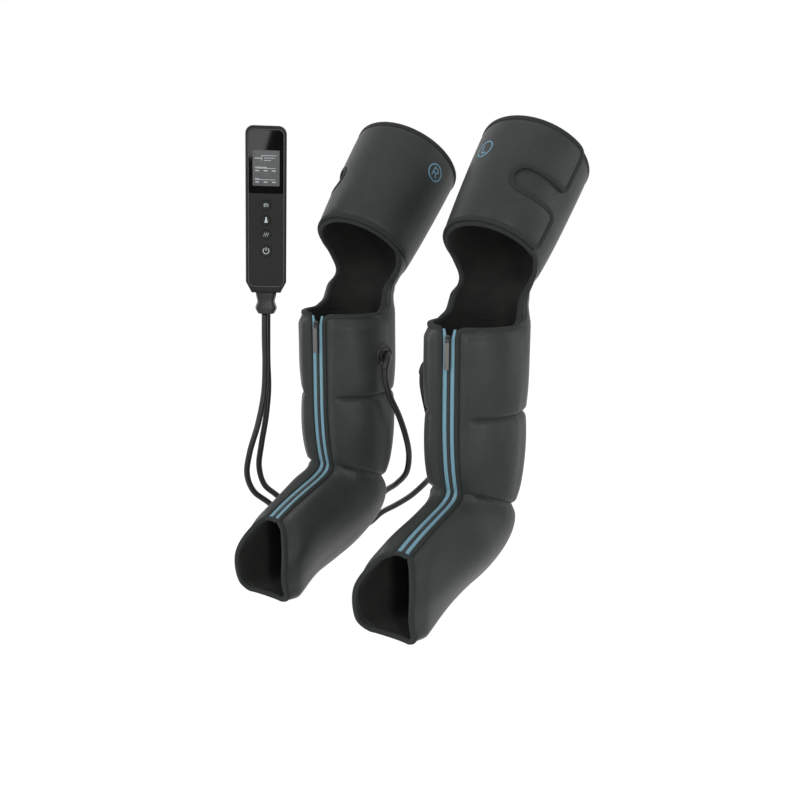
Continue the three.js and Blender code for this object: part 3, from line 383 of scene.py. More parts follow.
# Grosgrain: ribs across the run, slightly slanted
finish("binding_cloth", ((0.15, "#262928"), (0.8, "#3a3e3d")), RIB_GRAIN, RIBS, 0.3, Roughness=0.7,
       bumps=((RIBS, 0.6, 0.0005), (RIB_GRAIN, 0.2, 0.0002)), Sheen_Weight=0.02, Specular_IOR_Level=0.1)
# The zip's light blue woven tape, with fine lengthwise cords
finish("stripe_tape", ((0.1, "#5b8798"), (0.9, "#7ba9ba")), WEFT, CORDS, Roughness=0.55,
       bumps=((CORDS, 0.5, 0.0003), (WEFT, 0.3, 0.0002)), Sheen_Weight=0.2)
plain("zip_plastic", "#1f2122", "#2c2e2f", noise(700, 2), (0.35, 0.55))
# Satin gun-metal, brushed along the pull
finish("pull_metal", ((0.3, "#535453"), (0.7, "#6f706e")), BRUSHED, rough=(0.34, 0.52),
       bumps=((BRUSHED, 0.12, 0.0002),), Metallic=0.65)
# Moulded dark grey case with a fine spark-eroded grain
finish("case_plastic", ((0.38, "#1f201e"), (0.62, "#262725")), GRAIN_2600, COARSE_18, rough=(0.38, 0.5),
       bumps=((GRAIN_2600, 0.3, 0.0001),), Specular_IOR_Level=0.12)
finish("window_glass", ((0.3, "#030202"), (0.8, "#060405")), noise(40, 4), rough=(0.02, 0.05),
       Specular_IOR_Level=0.06)
finish("screen", ((0.3, "#525453"), (0.7, "#636564")), noise(25, 2), rough=(0.2, 0.3),
       Specular_IOR_Level=0.15)
# Satin dark hose with a fine grain over slow mottling
finish("hose_rubber", ((0.38, "#222324"), (0.62, "#2b2a2b")), GRAIN_500, noise(30, 2), rough=(0.3, 0.42),
       bumps=((GRAIN_500, 0.15, 0.0002),), Specular_IOR_Level=0.26)
plain("board", "#1b4330", "#255540", noise(200))
plain("grey_silicone", "#808281", "#929493", rough=(0.595, 0.805))
plain("steel", "#8f9193", "#a6a8aa", noise(600), (0.272, 0.368), Metallic=0.9)
plain("battery_wrap", "#48575f", "#5a6a76")
finish("print_white", ((0.3, "#b9c6cd"), (0.7, "#d0dadf")), GRAIN_900, Roughness=0.5)
finish("print_blue", ((0.3, "#5487a0"), (0.7, "#6fa0b6")), GRAIN_900, Roughness=0.5,
       bumps=((GRAIN_900, 0.2, 0.0001),))
plain("line_plastic", "#4c4d4c", "#595a59", noise(700), (0.34, 0.46))
# Light grey for the plug's raised side lines: a painted highlight along the plug's wavy edges
plain("painted_highlight_rubber", "#6e7274", "#808486", noise(700))
SLOTS = {part["node"]: part["material_slot"] for part in frame["record"]["subparts"]}


# Meshes

def add(name, data):
    thing = bpy.data.objects.new(name, data)
    bpy.context.scene.collection.objects.link(thing)
    return thing


def new_piece(name, points, faces, uv, slot, body, material=None):
    """A smooth-shaded piece in the row frame that rides on a body, if it is given one."""
    mesh = bpy.data.meshes.new(name)
    mesh.from_pydata(np.asarray(points).tolist(), [], [list(map(int, f)) for f in faces])
    bm = bmesh.new()
    bm.from_mesh(mesh)
    bmesh.ops.recalc_face_normals(bm, faces=bm.faces)
    bm.to_mesh(mesh)
    bm.free()
    mesh.shade_smooth()
    if uv is not None:
        lay_uv(mesh, uv)
    piece = add(name, mesh)
    mesh.materials.append(material or MATERIALS[slot])
    if body:
        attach(piece, body)
    return piece


def leg_piece(side, name, shape, slot, body=ROOT, nodes=(), material=None):
    """A piece of one leg from points in its own frame, faces and perhaps a uv, in place of some nodes.
    Its body may be a function, called on the piece instead of a body for it to ride on."""
    points, faces, uv = (*shape, None)[:3]
    bends = callable(body)
    ridden = None if bends else body
    piece = new_piece(f"{side}_{name}", on_leg(points, side), faces, uv, slot, ridden, material)
    if bends:
        body(piece, side)
    if nodes:
        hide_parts(*(f"{side}_{replaced}" for replaced in nodes))


def lay_uv(mesh, uv):
    """Each point's place along and across its run, unrolled where a face crosses the seam."""
    layer = mesh.uv_layers.new(name="run")
    points = np.empty(len(mesh.loops), int)
    starts, counts = np.empty((2, len(mesh.polygons)), int)
    mesh.loops.foreach_get("vertex_index", points)
    mesh.polygons.foreach_get("loop_start", starts)
    mesh.polygons.foreach_get("loop_total", counts)
    place = uv[points].astype(float)
    low = np.minimum.reduceat(place, starts, axis=0)
    high = np.maximum.reduceat(place, starts, axis=0)
    span = np.ptp(uv, axis=0)
    crosses = np.repeat((high - low > span / 2) & (counts < 5)[:, None], counts, axis=0)
    place += np.where(crosses & (place < uv.min(0) + span / 2), span, 0)
    layer.data.foreach_set("uv", place.astype(np.float32).ravel())


def joined(*columns):
    return np.stack(np.broadcast_arrays(*columns), -1)


def circle(count):
    return np.arange(count) / count * tau


def on_leg(points, side):
    """Points of a leg's own frame, put into the row frame."""
    x, y, direction = LEG_PLACE[side]
    return np.asarray(points, float) * [direction, 1, 1] + [x, y, 0]


def grid_faces(rows, columns, first=0, ring_rows=False, ring_columns=False):
    faces = []
    for r in range(rows if ring_rows else rows - 1):
        for c in range(columns if ring_columns else columns - 1):
            corners = [(r, c), (r, c + 1), (r + 1, c + 1), (r + 1, c)]
            faces.append([first + (i % rows) * columns + j % columns for i, j in corners])
    return faces


def tube_faces(rows, columns, first=0):
    """Faces of rings in a row, with both ends closed."""
    caps = [list(range(first + row * columns, first + (row + 1) * columns)) for row in (0, rows - 1)]
    return grid_faces(rows, columns, first, False, True) + caps


def slab(outer, inner):
    """Points and faces of a closed sheet between two grids of points."""
    rows, columns = outer.shape[:2]
    size = rows * columns
    points = np.concatenate([outer.reshape(-1, 3), inner.reshape(-1, 3)])
    faces = grid_faces(rows, columns) + grid_faces(rows, columns, size)
    marks = np.arange(size).reshape(rows, columns)
    rim = [*marks[0], *marks[1:, -1], *marks[-1, -2::-1], *marks[-2:0:-1, 0]]
    faces += [[a, b, b + size, a + size] for a, b in zip(rim, rim[1:] + rim[:1])]
    return points, faces


def ring_slab(outer, inner):
    """Points and faces of a closed band: both grids close on themselves along their columns."""
    rings = np.concatenate([outer, inner[::-1]])
    return rings.reshape(-1, 3), grid_faces(*rings.shape[:2], 0, True, True)


def unit(vectors):
    return vectors / np.maximum(np.linalg.norm(vectors, axis=-1, keepdims=True), 1e-9)


def lengths_along(path):
    return np.concatenate([[0], np.cumsum(np.linalg.norm(np.diff(path, axis=0), axis=1))])


def even(path, step, *others):
    """A path resampled to even steps, with the values that go along it."""
    run = lengths_along(path)
    marks = np.linspace(0, run[-1], max(2, round(run[-1] / step) + 1))
    return [joined(*(np.interp(marks, run, column) for column in values.T)) for values in (path, *others)]


def softened(values, reach):
    """Values along a path with their corners rounded over a number of steps."""
    offsets = np.arange(-3 * reach, 3 * reach + 1)
    weights = np.exp(-0.5 * (offsets / reach) ** 2)
    weights /= weights.sum()
    width = len(offsets) // 2
    head = 2 * values[0] - values[width:0:-1]
    tail = 2 * values[-1] - values[-2:-width - 2:-1]
    padded = np.concatenate([head, values, tail])
    return joined(*(np.convolve(column, weights, "valid") for column in padded.T))


def rounded(value, power):
    return np.sign(value) * np.abs(value) ** power


def sweep(path, normals, half_width, outer, inner, sides=16, power=3.5, closed=False):
    """A rounded flat section swept along a path on a surface, between two heights over the surface."""
    count = len(path)
    outer, inner = (np.broadcast_to(height, count)[:, None] for height in (outer, inner))
    ahead = np.roll(path, -1, 0) - np.roll(path, 1, 0) if closed else np.gradient(path, axis=0)
    tangents = unit(ahead)
    normals = unit(normals - tangents * (normals * tangents).sum(-1, keepdims=True))
    across = np.cross(tangents, normals)
    turns = circle(sides)
    wide, high = rounded(np.cos(turns), 2 / power), rounded(np.sin(turns), 2 / power)
    points = path[:, None] + across[:, None] * (half_width * wide)[None, :, None]
    points = points + normals[:, None] * ((outer + inner) / 2 + (outer - inner) / 2 * high)[:, :, None]
    faces = grid_faces(count, sides, 0, True, True) if closed else tube_faces(count, sides)
    around = half_width * 4 * np.arange(sides) / sides
    uv = joined(lengths_along(path)[:, None], around[None]).reshape(-1, 2)
    return points.reshape(-1, 3), faces, uv


# Boot surfaces, in a leg's own frame

def blend(a, b, share):
    return a + (b - a) * share


def ease(value, low, high):
    share = np.clip((value - low) / (high - low), 0, 1)
    return share * share * (3 - 2 * share)


def floats(*values):
    return np.broadcast_arrays(*(np.asarray(v, float) for v in values))


def bezier(points, share):
    share = np.asarray(share, float)[..., None]
    points = [np.asarray(p, float) for p in points]
    while len(points) > 1:
        points = [blend(a, b, share) for a, b in zip(points, points[1:])]
    return points[0]


RIM_HEIGHT = CALF_TOP_HEIGHT - BINDING_WIDTH - CLEARANCE
RIM_INSET = SLEEVE_WALL + CLEARANCE + LINING_THICKNESS
EDGE_MIDDLE = SLIT_HALF_WIDTH + BINDING_WIDTH / 2


def section_at(along):
    """The sleeve's front and back lines, half width and toe share, at a place along the boot.
    Along is 0 at the calf's top, 1 at its seam, 2 at the ankle's seam and 3 at the toes."""
    height = blend(RIM_HEIGHT, CALF_SEAM_HEIGHT, along)
    shin, toe = np.clip(along - 1, 0, 1), np.maximum(along - 2, 0)
    tread = (toe - HEEL_SHARE) / (1 - HEEL_SHARE)
    heel = bezier(HEEL, np.clip(toe / HEEL_SHARE, 0, 1))
    under = np.where((tread < 0)[..., None], heel, bezier(SOLE, tread))

    def pick(at, on_calf, on_shin, on_foot):
        return np.where(at <= 1, on_calf, np.where(at <= 2, on_shin, on_foot))

    at = along[..., None]
    front = pick(at, joined(-CALF_HALF_DEPTH, height), bezier(CALF_FRONT, shin), bezier(INSTEP, toe))
    back = pick(at, joined(CALF_HALF_DEPTH, height), bezier(CALF_BACK, shin), under)
    half_width = pick(
        along,
        blend(CALF_TOP_HALF_WIDTH, CALF_SEAM_HALF_WIDTH, along),
        blend(CALF_SEAM_HALF_WIDTH, ANKLE_HALF_WIDTH, shin),
        blend(ANKLE_HALF_WIDTH, TOE_HALF_WIDTH, toe) + FOOT_SWELL * np.sin(pi * toe),
    )
    return front, back, half_width, np.minimum(toe, 1)


def toe_width_share(depth_share):
    swell = np.sin((pi / 2) * np.minimum(1, depth_share / TOE_WIDEST_SHARE))
    top = np.clip(1 - depth_share / TOE_TOP_CORNER_SHARE, 0, 1)
    bottom = np.clip(1 - (1 - depth_share) / TOE_SOLE_CORNER_SHARE, 0, 1)
    return blend(TOE_TOP_SHARE, 1, swell) * np.sqrt(1 - top**2) * np.sqrt(1 - bottom**3)


def foot_swell(toe, angle):
    """The foot is fuller on its inner side towards the toes, and on its outer side below the ankle."""
    inner = np.sin(angle) > 0
    place = np.where(inner, INNER_SWELL_PLACE, OUTER_SWELL_PLACE)
    size = np.where(inner, INNER_FOOT_SWELL, OUTER_FOOT_SWELL)
    return size * ease(toe, 0, 0.1) * np.exp(-(((toe - place) / FOOT_SWELL_REACH) ** 2))


def skin(along, angle, outset=0.0):
    """A point of the boot's outside, so far out of its plain surface.
    Angle turns from the shin at 0, over the inner side, to the back of the leg at half a turn."""
    along, angle, outset = floats(along, angle, outset)
    front, back, half_width, toe = section_at(along)
    depth_share = (1 - np.cos(angle)) / 2
    width_share = blend(np.abs(np.sin(angle)), toe_width_share(depth_share), toe)
    width_share = width_share * (1 - KEEL_SHARE * np.sin(pi * toe) * depth_share**2)
    reach = unit(back - front) * outset[..., None]
    middle = blend(front - reach, back + reach, depth_share[..., None])
    x = np.sign(np.sin(angle)) * (half_width + foot_swell(toe, angle) + outset) * width_share
    y = middle[..., 0] - TOE_BOW * toe**2 * np.sin(pi * depth_share)
    return joined(x, y, np.maximum(middle[..., 1], np.maximum(0, -outset)))


def skin_normal(along, angle, step=1e-3):
    """The outward direction of the boot's plain surface."""
    down = skin(along + step, angle) - skin(along - step, angle)
    round_leg = skin(along, angle + step) - skin(along, angle - step)
    return unit(np.cross(round_leg, down)) * -1


def angle_at(along, distance, outset=0.0, direction=1):
    """The angle at which the skin is so far from the shin's middle line.
    Direction is 1 for the inner side and -1 for the outer."""
    along, distance = floats(along, distance)
    low, high = np.zeros_like(along), np.full_like(along, pi / 2)
    for _ in range(30):
        middle = (low + high) / 2
        short = np.abs(skin(along, direction * middle, outset)[..., 0]) < distance
        low, high = np.where(short, middle, low), np.where(short, high, middle)
    return low


def along_at(height):
    return (RIM_HEIGHT - height) / (RIM_HEIGHT - CALF_SEAM_HEIGHT)


def cuff_place(points):
    x, y, z = np.moveaxis(points, -1, 0)
    cosine, sine = cos(CUFF_TILT), sin(CUFF_TILT)
    return joined(x, y * cosine + z * sine, z * cosine - y * sine) + CUFF_CENTRE


def cuff_skin(height, angle, outset=0.0):
    """A point of the cuff's outside in a leg's own frame; height runs along the cuff from its bottom edge."""
    height, angle, outset = floats(height, angle, outset)
    share = height / CUFF_LENGTH
    crown = CUFF_CROWN * np.sin(pi * np.clip(share, 0, 1)) ** CROWN_POWER
    radius = blend(CUFF_BOTTOM_RADIUS, CUFF_TOP_RADIUS, share) + crown
    across, depth = (radius + outset) * np.sin(angle), -(radius * CUFF_DEPTH_SHARE + outset) * np.cos(angle)
    return cuff_place(joined(across, depth, height))


def cuff_turned(directions):
    return cuff_place(directions) - cuff_place(np.zeros_like(directions))


def cuff_normal(angle):
    return cuff_turned(joined(np.sin(angle), -np.cos(angle), 0.0))


def knee_skin(rise, angle, outset=0.0, calf_outset=0.0):
    """A point of the knee panel: up from the calf's top edge, then along the cuff, drawn in between.
    Below a rise of 0 it runs straight down inside the calf's cover. Each end has its own outset."""
    rise, angle, outset, calf_outset = floats(rise, angle, outset, calf_outset)
    below = np.minimum(rise, 0) * KNEE_OVERLAP
    rise = np.maximum(rise, 0)
    out = joined(np.sin(angle), -np.cos(angle), 0.0)
    base = [CALF_TOP_HALF_WIDTH, CALF_HALF_DEPTH, 0]
    start = (base + calf_outset[..., None]) * out + [0, 0, CALF_TOP_HEIGHT + CLEARANCE]
    end = cuff_skin(-CLEARANCE, angle, outset + CORE_OUTSET)
    reach = np.linalg.norm(end - start, axis=-1, keepdims=True) * KNEE_REACH_SHARE
    axis = cuff_turned(np.array([0, 0, 1.0]))
    line = bezier([start, start + reach * [0, 0, 1], end - reach * axis, end], rise)
    drawn = KNEE_DRAW * np.sin(pi * np.minimum(rise, 1))
    return line - out * drawn[..., None] + joined(0.0, 0.0, below)


def knee_half_span(rise):
    rise = np.asarray(rise, float)
    low = (1 - KNEE_CALF_SHARE) * np.maximum(1 - rise / KNEE_WAIST_SHARE, 0) ** KNEE_FLARE_POWERS[0]
    low = low + KNEE_CALF_SHARE * (1 - ease(rise, *KNEE_STEP_SHARES))
    high = np.maximum((rise - KNEE_WAIST_SHARE) / (1 - KNEE_WAIST_SHARE), 0) ** KNEE_FLARE_POWERS[1]
    return KNEE_SPAN + KNEE_FLARE * (low + high)


def bend_at_knee(piece, side):
    """Bakes the piece's place into its points."""
    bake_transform(piece)


def from_shin(angle):
    return np.minimum(angle, tau - angle)


def from_seam(along):
    """About how many metres a place is from the nearer of the sleeve's two seams."""
    return np.minimum(*(np.abs(along - seam) * scale for seam, scale in enumerate(SEAM_SCALES, 1)))


def crown_at(along, angle):
    """How far the cover stands out: full in a chamber, drawn in at its seams, its rims and beside the zip."""
    chamber = np.clip(np.floor(along), 0, 2)
    share = np.clip(along - chamber, 0, 1)
    at_rim = ((chamber == 0) & (share < 0.5)) | ((chamber == 2) & (share > 0.5))
    seam_fade = ease(from_shin(angle), *SEAM_FADE)
    behind = from_shin(angle) > pi / 2
    from_slit = np.abs(skin(along, angle)[..., 0]) - SLIT_HALF_WIDTH - BINDING_WIDTH
    edge_fade = np.where(behind, 1, ease(from_slit, 0, EDGE_FADE_WIDTH))
    calf_length = RIM_HEIGHT - CALF_SEAM_HEIGHT
    back = ease(from_shin(angle), *BACK_FADE) * (along < 1)
    rim = ease(np.minimum(along, (3 - along) * TOE_RIM_SCALE) * calf_length, 0, EDGE_FADE_WIDTH)
    rim = blend(blend(RIM_CROWN_SHARE, 1, rim), 1, back)
    full = np.where(at_rim, rim, blend(1, np.sin(pi * share) ** CROWN_POWER, seam_fade))
    seam = SEAM_GROOVE * seam_fade * np.exp(-((from_seam(along) / SEAM_GROOVE_WIDTH) ** 2))
    to_rim = np.minimum(np.abs(along), np.abs(3 - along)) * calf_length
    to_edge = np.minimum(to_rim, np.where(behind, 1, np.maximum(from_slit, 0)))
    edge = EDGE_GROOVE * np.exp(-((to_edge / EDGE_GROOVE_WIDTH) ** 2)) * (1 - back)
    swell = BACK_SWELL * ease(from_shin(angle), *BACK_SWELL_FADE) * (1 - ease(along, *BACK_SWELL_END))
    return CHAMBER_CROWN * edge_fade * full + swell - seam - edge


def pucker_at(along, angle):
    """Small folds square to a seam, strongest on it, over slow waves in the padding."""
    folds = np.sin(angle * 31 + 2 * np.sin(angle * 7)) + 0.6 * np.sin(angle * 53 + 1.3)
    waves = np.sin(angle * 5 + along * 2.1) + 0.7 * np.sin(angle * 9 - along * 3.3 + 0.6)
    calm = ease(from_shin(angle), *PUCKER_FADE)
    return calm * (PUCKER_HEIGHT * folds * np.exp(-from_seam(along) / PUCKER_REACH) + WAVE_HEIGHT * waves)


# Boot pieces

def chamber_rows(count):
    """Rows along the sleeve, closest together at the seams and rims, from just over the top rim."""
    share = (1 - np.cos(np.linspace(0, pi, count))) / 2
    rows = np.concatenate([chamber + share[(chamber > 0):] for chamber in range(3)])
    return np.concatenate([along_at(RIM_HEIGHT + np.array(RIM_TUCKS)), rows[1:]])[:, None]


def opening_angles(rows, columns, outset=0.0):
    """Angles round the boot, from one edge of the front opening to the other."""
    last = tau - angle_at(rows, EDGE_MIDDLE, outset, -1)
    return blend(angle_at(rows, EDGE_MIDDLE, outset), last, columns)


def sleeve(side):
    """The padded outside of the boot: three chambers in one cover, with its seams pressed in."""
    rows, turn = chamber_rows(SLEEVE_GRID[0]), np.linspace(0, 1, SLEEVE_GRID[1])[None]
    columns = turn - SLEEVE_COLUMN_DRAW * np.sin(tau * turn) / tau
    angle = opening_angles(rows, columns)
    outer = skin(rows, angle, crown_at(rows, angle) + pucker_at(rows, angle))
    inner = skin(rows, opening_angles(rows, columns, -SLEEVE_WALL), -SLEEVE_WALL)
    chambers = ("calf_upper_chamber", "calf_lower_chamber", "foot_chamber")
    leg_piece(side, "sleeve", slab(outer, inner), "outer_cloth", nodes=chambers)


def boot_lining(side):
    rows, columns = chamber_rows(LINING_GRID[0]), np.linspace(0, 1, LINING_GRID[1])[None]
    grids = []
    for outset in (-SLEEVE_WALL - CLEARANCE / 2, -RIM_INSET):
        angle = opening_angles(rows, columns, outset)
        grids.append(skin(rows, angle, outset + LINING_RIPPLE_SHARE * pucker_at(rows, angle)))
    leg_piece(side, "lining", slab(*grids), "lining_cloth", nodes=["boot_lining"])


def edge_path(direction):
    """The middle line of the binding round the front opening, from the sole's middle to the cuff's front.
    With it go the surface's normals and how deep the bound wall is."""
    middle = BINDING_WIDTH / 2
    toe_angle = direction * np.linspace(pi, 0.01, 120)
    toe = skin(3.0, toe_angle) - [0, middle, 0]
    toe_keep = np.abs(toe[:, 0]) > EDGE_MIDDLE
    toe_keep[:60] = True
    slit_along = np.concatenate([np.linspace(2.985, 2, 90), np.linspace(1.99, 0.03, 120)])
    slit_angle = direction * angle_at(slit_along, EDGE_MIDDLE, 0.0, direction)
    rim_edge = pi - knee_half_span(0)
    rim_angle = direction * np.linspace(angle_at(0.0, EDGE_MIDDLE + 0.004), rim_edge, 60)
    rim = skin(0.0, rim_angle)
    rim[:, 2] = RIM_HEIGHT + middle
    rise = np.linspace(0.04, 0.88, 60)
    knee_angle = direction * (pi - knee_half_span(rise) + middle / CALF_TOP_HALF_WIDTH)
    knee_normal = joined(np.sin(knee_angle), -np.cos(knee_angle), 0.0)
    knee_depth = blend(RIM_INSET, CUFF_WALL, rise) + BINDING_OVERLAP
    cuff_angle = direction * np.linspace(rim_edge, 0, 60)
    cuff = cuff_skin(-0.0012, cuff_angle, CORE_OUTSET)
    parts = [
        (toe[toe_keep], skin_normal(NEAR_TOE, toe_angle)[toe_keep], BINDING_DEPTH + 0.002),
        (skin(slit_along, slit_angle), skin_normal(slit_along, slit_angle), BINDING_DEPTH),
        (rim, skin_normal(0.0, rim_angle), RIM_INSET),
        (knee_skin(rise, knee_angle), knee_normal, knee_depth),
        (cuff, cuff_normal(cuff_angle), CUFF_WALL + BINDING_OVERLAP),
    ]
    path, normals = (np.concatenate([part[i] for part in parts]) for i in range(2))
    depth = np.concatenate([np.broadcast_to(part[2], len(part[0])) for part in parts])
    path, normals, depth = even(path, 0.0015, normals, depth[:, None])
    path, normals, depth = softened(path, 3), softened(normals, 4), softened(depth, 4)[:, 0]
    path[:, 2] = np.maximum(path[:, 2], BINDING_PROUD)
    return path, normals, depth


def edge_bindings(side):
    """Ribbed binding round each half of the front opening, in one run past the knee to the cuff."""
    for name, direction, node in (("inner", 1, "toe_binding"), ("outer", -1, "calf_top_binding")):
        path, normals, depth = edge_path(direction)
        tape = sweep(path, normals, BINDING_WIDTH / 2, BINDING_PROUD, -depth)
        leg_piece(side, f"{name}_edge_binding", tape, "binding_cloth", bend_at_knee, nodes=[node])


ZIP_TOP_ALONG = along_at(CALF_TOP_HEIGHT)
ZIP_MOUTH_ALONG = along_at(CALF_TOP_HEIGHT - ZIP_MOUTH_DEPTH)


def zip_rows(start, count):
    parts = [np.linspace(low, high, count // 4)[:-1] for low, high in ((start, 1), (1, 2))]
    return np.concatenate([*parts, np.linspace(2, 2.999, count // 2)])


def zip_tapes(side):
    """The two woven tapes, slightly bowed between the bindings and the teeth, and apart at the open top."""
    rows = zip_rows(ZIP_TOP_ALONG + 0.03, 240)[:, None]
    share = np.linspace(0, 1, 9)[None]
    near = CHAIN_HALF_WIDTH + ZIP_MOUTH_HALF_WIDTH * (1 - ease(rows, ZIP_TOP_ALONG, ZIP_MOUTH_ALONG))
    distance = blend(near, SLIT_HALF_WIDTH + 0.001, share)
    height = -TAPE_SINK + TAPE_BOW * np.sin(pi * share)
    for name, direction in (("inner", 1), ("outer", -1)):
        angle = direction * angle_at(rows, distance, 0.0, direction)
        outer, inner = (skin(rows, angle, outset) for outset in (height, height - TAPE_THICKNESS))
        uv = joined(lengths_along(outer[:, 0])[:, None], distance - near).reshape(-1, 2)
        tape = (*slab(outer, inner), np.concatenate([uv, uv]))
        leg_piece(side, f"{name}_tape", tape, "stripe_tape", nodes=[f"{name}_zip_tape"])


def zip_teeth(side):
    """The closed zip: a coil of short teeth on each side that mesh along the middle, over a dark backing."""
    rows = zip_rows(ZIP_MOUTH_ALONG, 260)
    middle, normals = even(skin(rows, 0.0, -CHAIN_SINK), TOOTH_PITCH / 2, skin_normal(rows, 1e-3))
    tangents, normals = unit(np.gradient(middle, axis=0)), unit(normals)
    across = np.cross(tangents, normals)
    points, faces = [], []
    for i, (place, ahead, out) in enumerate(zip(middle, tangents, normals)):
        faces += tube_faces(len(TOOTH_ENDS), len(TOOTH_SECTION), len(points))
        for reach, size in TOOTH_ENDS:
            for along, up in TOOTH_SECTION:
                offset = across[i] * (reach if i % 2 else -reach) + ahead * along * size * TOOTH_HALF_LENGTH
                points.append(place + offset + out * (up * size - 1) * TOOTH_HALF_HEIGHT)
    leg_piece(side, "zip_teeth", (points, faces), "zip_plastic", nodes=["zip_chain"])
    backing = sweep(middle - normals * BACKING_SINK, normals, CHAIN_HALF_WIDTH, 0.0005, -0.0009, 8)
    leg_piece(side, "zip_backing", backing, "binding_cloth")


def zip_end_cover(side):
    """The short bar of binding that covers the zip's end at the toes."""
    across = np.linspace(-1, 1, 24) * (SLIT_HALF_WIDTH + 0.002)
    halves = (direction * angle_at(3.0, np.abs(across), 0.0, direction) for direction in (1, -1))
    path = skin(3.0, np.where(across > 0, *halves) % tau, -0.0012) - [0, 0.0025, 0]
    cover = sweep(path, skin_normal(NEAR_TOE, 1e-3), END_COVER_HALF_WIDTH, 0.0004, -0.003)
    leg_piece(side, "zip_end_cover", cover, "binding_cloth")


def refined(node, body, width):
    """A hard piece made from a node's own mesh, with its edges rounded."""
    mesh = frame["nodes"][node].data.copy()
    piece = add(f"{node}_finished", mesh)
    bm = bmesh.new()
    bm.from_mesh(mesh)
    bmesh.ops.remove_doubles(bm, verts=bm.verts, dist=1e-5)
    bmesh.ops.dissolve_limit(bm, angle_limit=radians(0.5), verts=bm.verts, edges=bm.edges)
    bm.to_mesh(mesh)
    bm.free()
    mesh.shade_smooth()
    bevel = piece.modifiers.new("edges", "BEVEL")
    bevel.width, bevel.segments = width, 3
    bevel.limit_method, bevel.angle_limit = "ANGLE", radians(28)
    piece.modifiers.new("normals", "WEIGHTED_NORMAL").weight = 100
    bpy.context.view_layer.update()
    graph = bpy.context.evaluated_depsgraph_get()
    finished = bpy.data.meshes.new_from_object(piece.evaluated_get(graph), depsgraph=graph)
    piece.modifiers.clear()
    piece.data = finished
    finished.materials.clear()
    finished.materials.append(MATERIALS[SLOTS[node]])
    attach(piece, body)
    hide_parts(node)


def knee_panel(side):
    """Padded cloth behind the knee, with its own lining."""
    rise = np.concatenate([[-1, -0.5], np.linspace(0, 1.02, 62)])[:, None]
    column = np.linspace(-1, 1, 110)[None]
    risen = np.clip(rise, 0, 1)
    angle = pi + column * (knee_half_span(risen) - 0.02)
    swell = KNEE_SWELL * np.sin(pi * risen) * np.cos(column * pi / 2)
    creases = np.sin(rise * 22 + 2 * np.cos(column * 3)) * np.exp(-((rise - 0.5) / KNEE_CREASE_REACH) ** 2)
    creases *= KNEE_CREASE_HEIGHT
    rim = np.zeros_like(angle)
    at_calf = crown_at(rim, angle) + pucker_at(rim, angle) - KNEE_TUCK
    under_wrap = ease(angle, *WRAP_BACK_FADE) * (1 - ease(angle, WRAP_ROOT_ANGLE - 0.1, WRAP_ROOT_ANGLE))
    at_cuff = WRAP_THICKNESS * under_wrap - KNEE_TUCK
    outer = knee_skin(rise, angle, swell + creases + at_cuff, swell + creases * risen + at_calf)
    middle = knee_skin(rise, angle, -KNEE_LINING_SINK, -SLEEVE_WALL)
    creases = creases * KNEE_LINING_CREASE_SHARE
    inner = knee_skin(rise, angle, creases - CUFF_WALL, creases - RIM_INSET)
    leg_piece(side, "knee_cloth", slab(outer, middle), "outer_cloth", bend_at_knee, ["knee_panel"])
    leg_piece(side, "knee_lining", slab(middle, inner), "lining_cloth", bend_at_knee)


# Thigh cuff pieces

def cuff_core(side):
    """The cuff's padded inner tube and its lining."""
    share = (1 - np.cos(np.linspace(0, pi, 60)))[:, None] / 2
    height = blend(-CORE_DROP, CUFF_LENGTH - CORE_DROP, share)
    angle = circle(144)[None]
    waves = CORE_WAVE_HEIGHT * (np.sin(angle * 5 + 0.4) + 0.6 * np.sin(angle * 8 + height * 30))
    outer = cuff_skin(height, angle, CORE_OUTSET + waves * np.sin(pi * share))
    middle = cuff_skin(height, angle, CORE_OUTSET - CUFF_WALL + CORE_LINING_SINK)
    inner = cuff_skin(height, angle, CORE_OUTSET - CUFF_WALL + waves)
    thigh = f"{side}_thigh"
    leg_piece(side, "cuff_core", ring_slab(outer, middle), "outer_cloth", thigh, ["thigh_cuff"])
    leg_piece(side, "cuff_lining", ring_slab(middle, inner), "lining_cloth", thigh)


def cuff_rim(side):
    """The ribbed binding round the inner tube's top."""
    angle = circle(240)
    top = cuff_skin(CUFF_LENGTH - BINDING_WIDTH / 2 + 0.001, angle, CORE_OUTSET)
    depth = -CUFF_WALL - BINDING_OVERLAP
    tape = sweep(top, cuff_normal(angle), BINDING_WIDTH / 2, BINDING_OVERLAP, depth, closed=True)
    leg_piece(side, "cuff_top_binding", tape, "binding_cloth", f"{side}_thigh")


FLAP_RADIUS = (CUFF_BOTTOM_RADIUS + CUFF_TOP_RADIUS) / 2
FLAP_MIDDLE = -(FLAP_EDGE_ANGLE + FLAP_SLOT_ANGLE) / 2


def arc(centre, radius, start, end, steps=14):
    turns = np.radians(np.linspace(start, end, steps))
    return [(centre[0] + radius * cos(t), centre[1] + radius * sin(t)) for t in turns]


